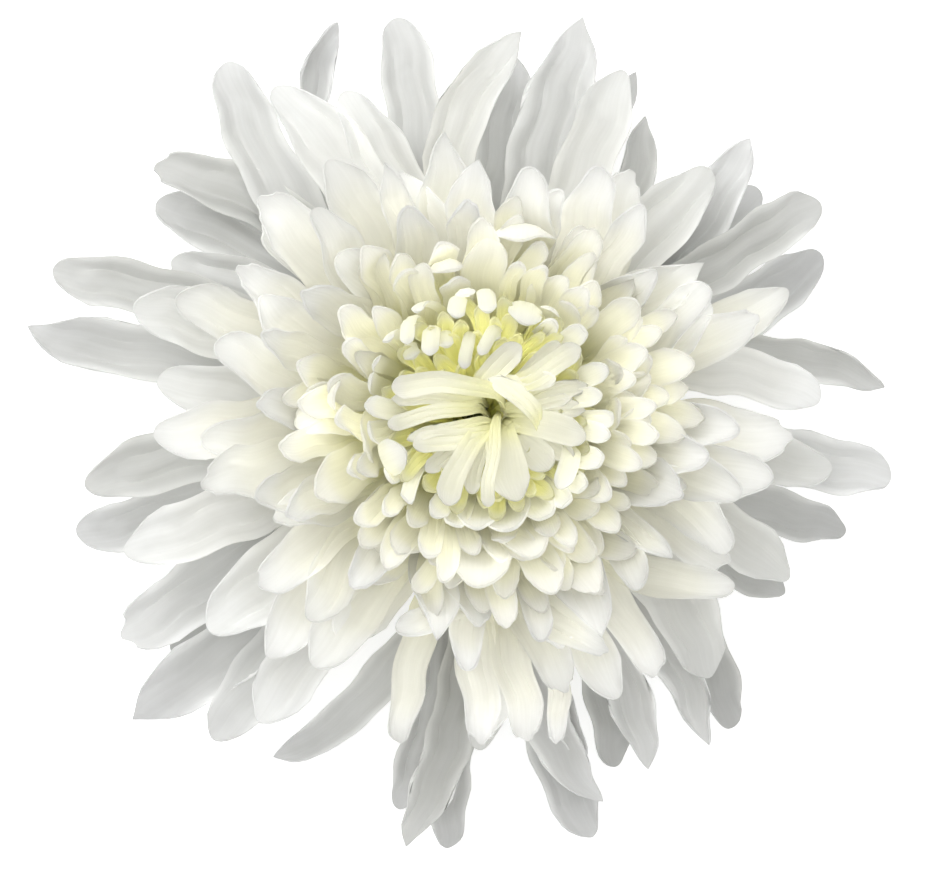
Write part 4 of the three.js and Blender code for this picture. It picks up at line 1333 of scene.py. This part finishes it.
PETALS = {name: petal_material(name, *values) for name, values in PETAL_FINISHES.items()}
print("petal finishes:", list(PETALS))

# %% [markdown]
# ## Green finishes
# The bracts, the cup under them, the dome and the stem are matte, mottled greens. The bracts have a thin,
# pale and papery edge, which could be a second piece. It has no thickness worth modelling, so it is a
# ramp across the blade's own map.

# %% Green finishes
def green_material(name, light, dark, edge=None, roughness=0.6):
    """Bracts, cup, receptacle and stem: mottled green, streaked, with a pale edge if one is given."""
    material, tree, shader = new_finish(name)
    place = node(tree, "ShaderNodeTexCoord", (-1200, 300))
    mottle = node(tree, "ShaderNodeTexNoise", (-900, 300), Scale=900.0, Detail=4.0, Roughness=0.6)
    tree.links.new(place.outputs["Object"], mottle.inputs["Vector"])
    colour = ramp(tree, (-600, 300), [(0.3, dark), (0.7, light)], mottle.outputs["Fac"])
    height = mottle.outputs["Fac"]
    if edge:
        across, along, tint, streaks = blade_sockets(tree)
        rim_stops = [(0, grey(1)), (0.16, grey(0)), (0.84, grey(0)), (1, grey(1))]
        rim = ramp(tree, (-600, -200), rim_stops, across)
        colour = mixed(tree, (-200, 200), rim, colour, edge)
        height = streaks.outputs["Streaks"]
    tree.links.new(colour, shader.inputs["Base Color"])
    tree.links.new(bumped(tree, height, 0.1 * MM, 0.5), shader.inputs["Normal"])
    shader.inputs["Roughness"].default_value = roughness
    shader.inputs["Subsurface Weight"].default_value = 0.15
    shader.inputs["Subsurface Scale"].default_value = 0.6 * MM
    return material


bract_finish = green_material("bract_green", (0.30, 0.38, 0.14), (0.20, 0.28, 0.09), (0.62, 0.60, 0.42))
cup_finish = green_material("cup_green", (0.32, 0.40, 0.16), (0.22, 0.30, 0.10))
dome_finish = green_material("receptacle_green", (0.45, 0.48, 0.16), (0.30, 0.34, 0.09))
stem_finish = green_material("stem_green", (0.34, 0.44, 0.18), (0.24, 0.33, 0.12))
print("green finishes: 4")

# %% [markdown]
# ## Putting it together
# Every piece rides on the one body of the head and takes its finish, and hides the plain solids that it
# stands for, where there are any.

# %% Ride, replace and finish
PIECES = [
    (guard_ring, PETALS["guard_petal"], "white_petal", ["ray_florets"]),
    (shoulder_ring, PETALS["shoulder_petal"], "white_petal", ["ray_florets"]),
    (lower_body, PETALS["lower_petal"], "white_petal", ["ray_florets"]),
    (upper_body, PETALS["upper_petal"], "white_petal", ["ray_florets"]),
    (rim_ring, PETALS["rim_petal"], "cream_petal", ["centre_florets"]),
    (centre, PETALS["centre_petal"], "cream_petal", ["centre_florets"]),
    (nested, PETALS["upper_petal"], "white_petal", ["ray_florets"]),
    (tuft, PETALS["young_petal"], "cream_petal", ["centre_florets"]),
    (dome, dome_finish, "cream_petal", []),
    (cup, cup_finish, "green_bract", ["involucre"]),
    (bract_piece, bract_finish, "green_bract", ["involucre"]),
    (stub, stem_finish, "green_stem", ["stem"]),
]
for piece, finish, slot, replaced in PIECES:
    piece.data.materials.clear()
    piece.data.materials.append(finish)
    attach(piece, "root")
    if replaced:
        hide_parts(*replaced)
print("pieces:", [piece.name for piece, *_ in PIECES])

# %% [markdown]
# ## The floor
# The head lies on a plain pale surface. A white floor in white light still comes out grey, so it gives
# off a little light of its own.

# %% Floor
FLOOR_GLOW = 0.5


def pale_floor():
    clear_selection()
    bpy.ops.mesh.primitive_grid_add(x_subdivisions=8, y_subdivisions=8, size=4)
    floor = bpy.context.object
    floor.name = "floor"
    material, tree, shader = new_finish("pale_floor")
    place = node(tree, "ShaderNodeTexCoord", (-700, 0))
    mottle = node(tree, "ShaderNodeTexNoise", (-500, 0), Scale=60.0, Detail=2.0)
    tree.links.new(place.outputs["Object"], mottle.inputs["Vector"])
    tone = ramp(tree, (-250, 0), [(0.3, grey(0.95)), (0.7, grey(0.97))], mottle.outputs["Fac"])
    tree.links.new(tone, shader.inputs["Base Color"])
    shader.inputs["Roughness"].default_value = 0.9
    shader.inputs["Emission Color"].default_value = (1, 1, 1, 1)
    shader.inputs["Emission Strength"].default_value = FLOOR_GLOW
    floor.data.materials.append(material)
    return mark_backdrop(floor)


pale_floor()
print("floor laid at z = 0")

# %% [markdown]
# ## Light
# White petals show their shape only by soft shading. A sun would burn out their upper faces, so there is
# one broad lamp from the upper left, a weaker one overhead and pale light from the whole room. A narrow
# pool of light falls on the eye, where the youngest petals would otherwise lie in their own shade.

# %% Light
def aimed_lamp(name, kind, azimuth, elevation, distance, power):
    """Aim a lamp at the head from a bearing and a height angle, and give its settings."""
    place = Vector(direction(azimuth, elevation)) * distance
    settings = bpy.data.lights.new(name, kind)
    settings.energy = power
    lamp = bpy.data.objects.new(name, settings)
    bpy.context.collection.objects.link(lamp)
    lamp.matrix_world = Matrix.Translation(place) @ place.to_track_quat("Z", "Y").to_matrix().to_4x4()
    return settings


overhead = aimed_lamp("overhead", "AREA", 180, 82, 1.3, 1.6)
key = aimed_lamp("key", "AREA", 125, 46, 0.6, 1.2)
for broad_lamp in (overhead, key):
    broad_lamp.shape = "DISK"
    broad_lamp.size = 0.5
eye_lamp = aimed_lamp("eye_lamp", "SPOT", 150, 80, 1, 1.3)
eye_lamp.spot_size = math.radians(6.4)
eye_lamp.spot_blend = 1
eye_lamp.shadow_soft_size = 0.12
world = bpy.data.worlds.new("room")
bpy.context.scene.world = world
world.use_nodes = True
room_light = world.node_tree.nodes["Background"]
room_light.inputs["Color"].default_value = (1, 1, 1, 1)
room_light.inputs["Strength"].default_value = 0.68
bpy.context.scene.view_settings.view_transform = "Standard"
print("lamps:", overhead.name, key.name, eye_lamp.name)

# %% [markdown]
# ## The camera
# The camera looks almost straight down, a few degrees off the vertical. It stands far back with a long
# lens, so the raised eye isn't drawn much larger than the low petals round it.

# %% Camera
CAMERA = {"azimuth": 225, "elevation": 85, "distance": 700, "frame_width": 121.7}
AIM = (-0.72, -2.3, 0)
SENSOR = 36


def looking_down():
    back = Vector(direction(CAMERA["azimuth"], CAMERA["elevation"])).normalized()
    up = Vector((0, 1, 0))
    up = (up - back * up.dot(back)).normalized()
    right = up.cross(back)
    place = Vector(AIM) * MM + back * CAMERA["distance"] * MM
    camera_data = bpy.data.cameras.new("camera")
    camera_data.sensor_width = SENSOR
    camera_data.lens = SENSOR * CAMERA["distance"] / CAMERA["frame_width"]
    camera_data.clip_start = 0.01
    camera = bpy.data.objects.new("camera", camera_data)
    bpy.context.collection.objects.link(camera)
    turn = Matrix((right, up, back)).transposed().to_4x4()
    camera.matrix_world = Matrix.Translation(place) @ turn
    bpy.context.scene.camera = camera
    return camera


camera = looking_down()
print("camera lens:", round(camera.data.lens), "mm at", CAMERA["distance"], "mm")

# %% [markdown]
# ## Sizes
# The box of the solid model and that of the finished one are kept side by side. They should agree to
# within a few millimetres.

# %% Sizes and finish
sizes = {"cad_box": CAD_BOX, "visual_box": [list(corner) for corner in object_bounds()]}
print("visual box in mm:", [[round(value / MM, 1) for value in corner] for corner in sizes["visual_box"]])
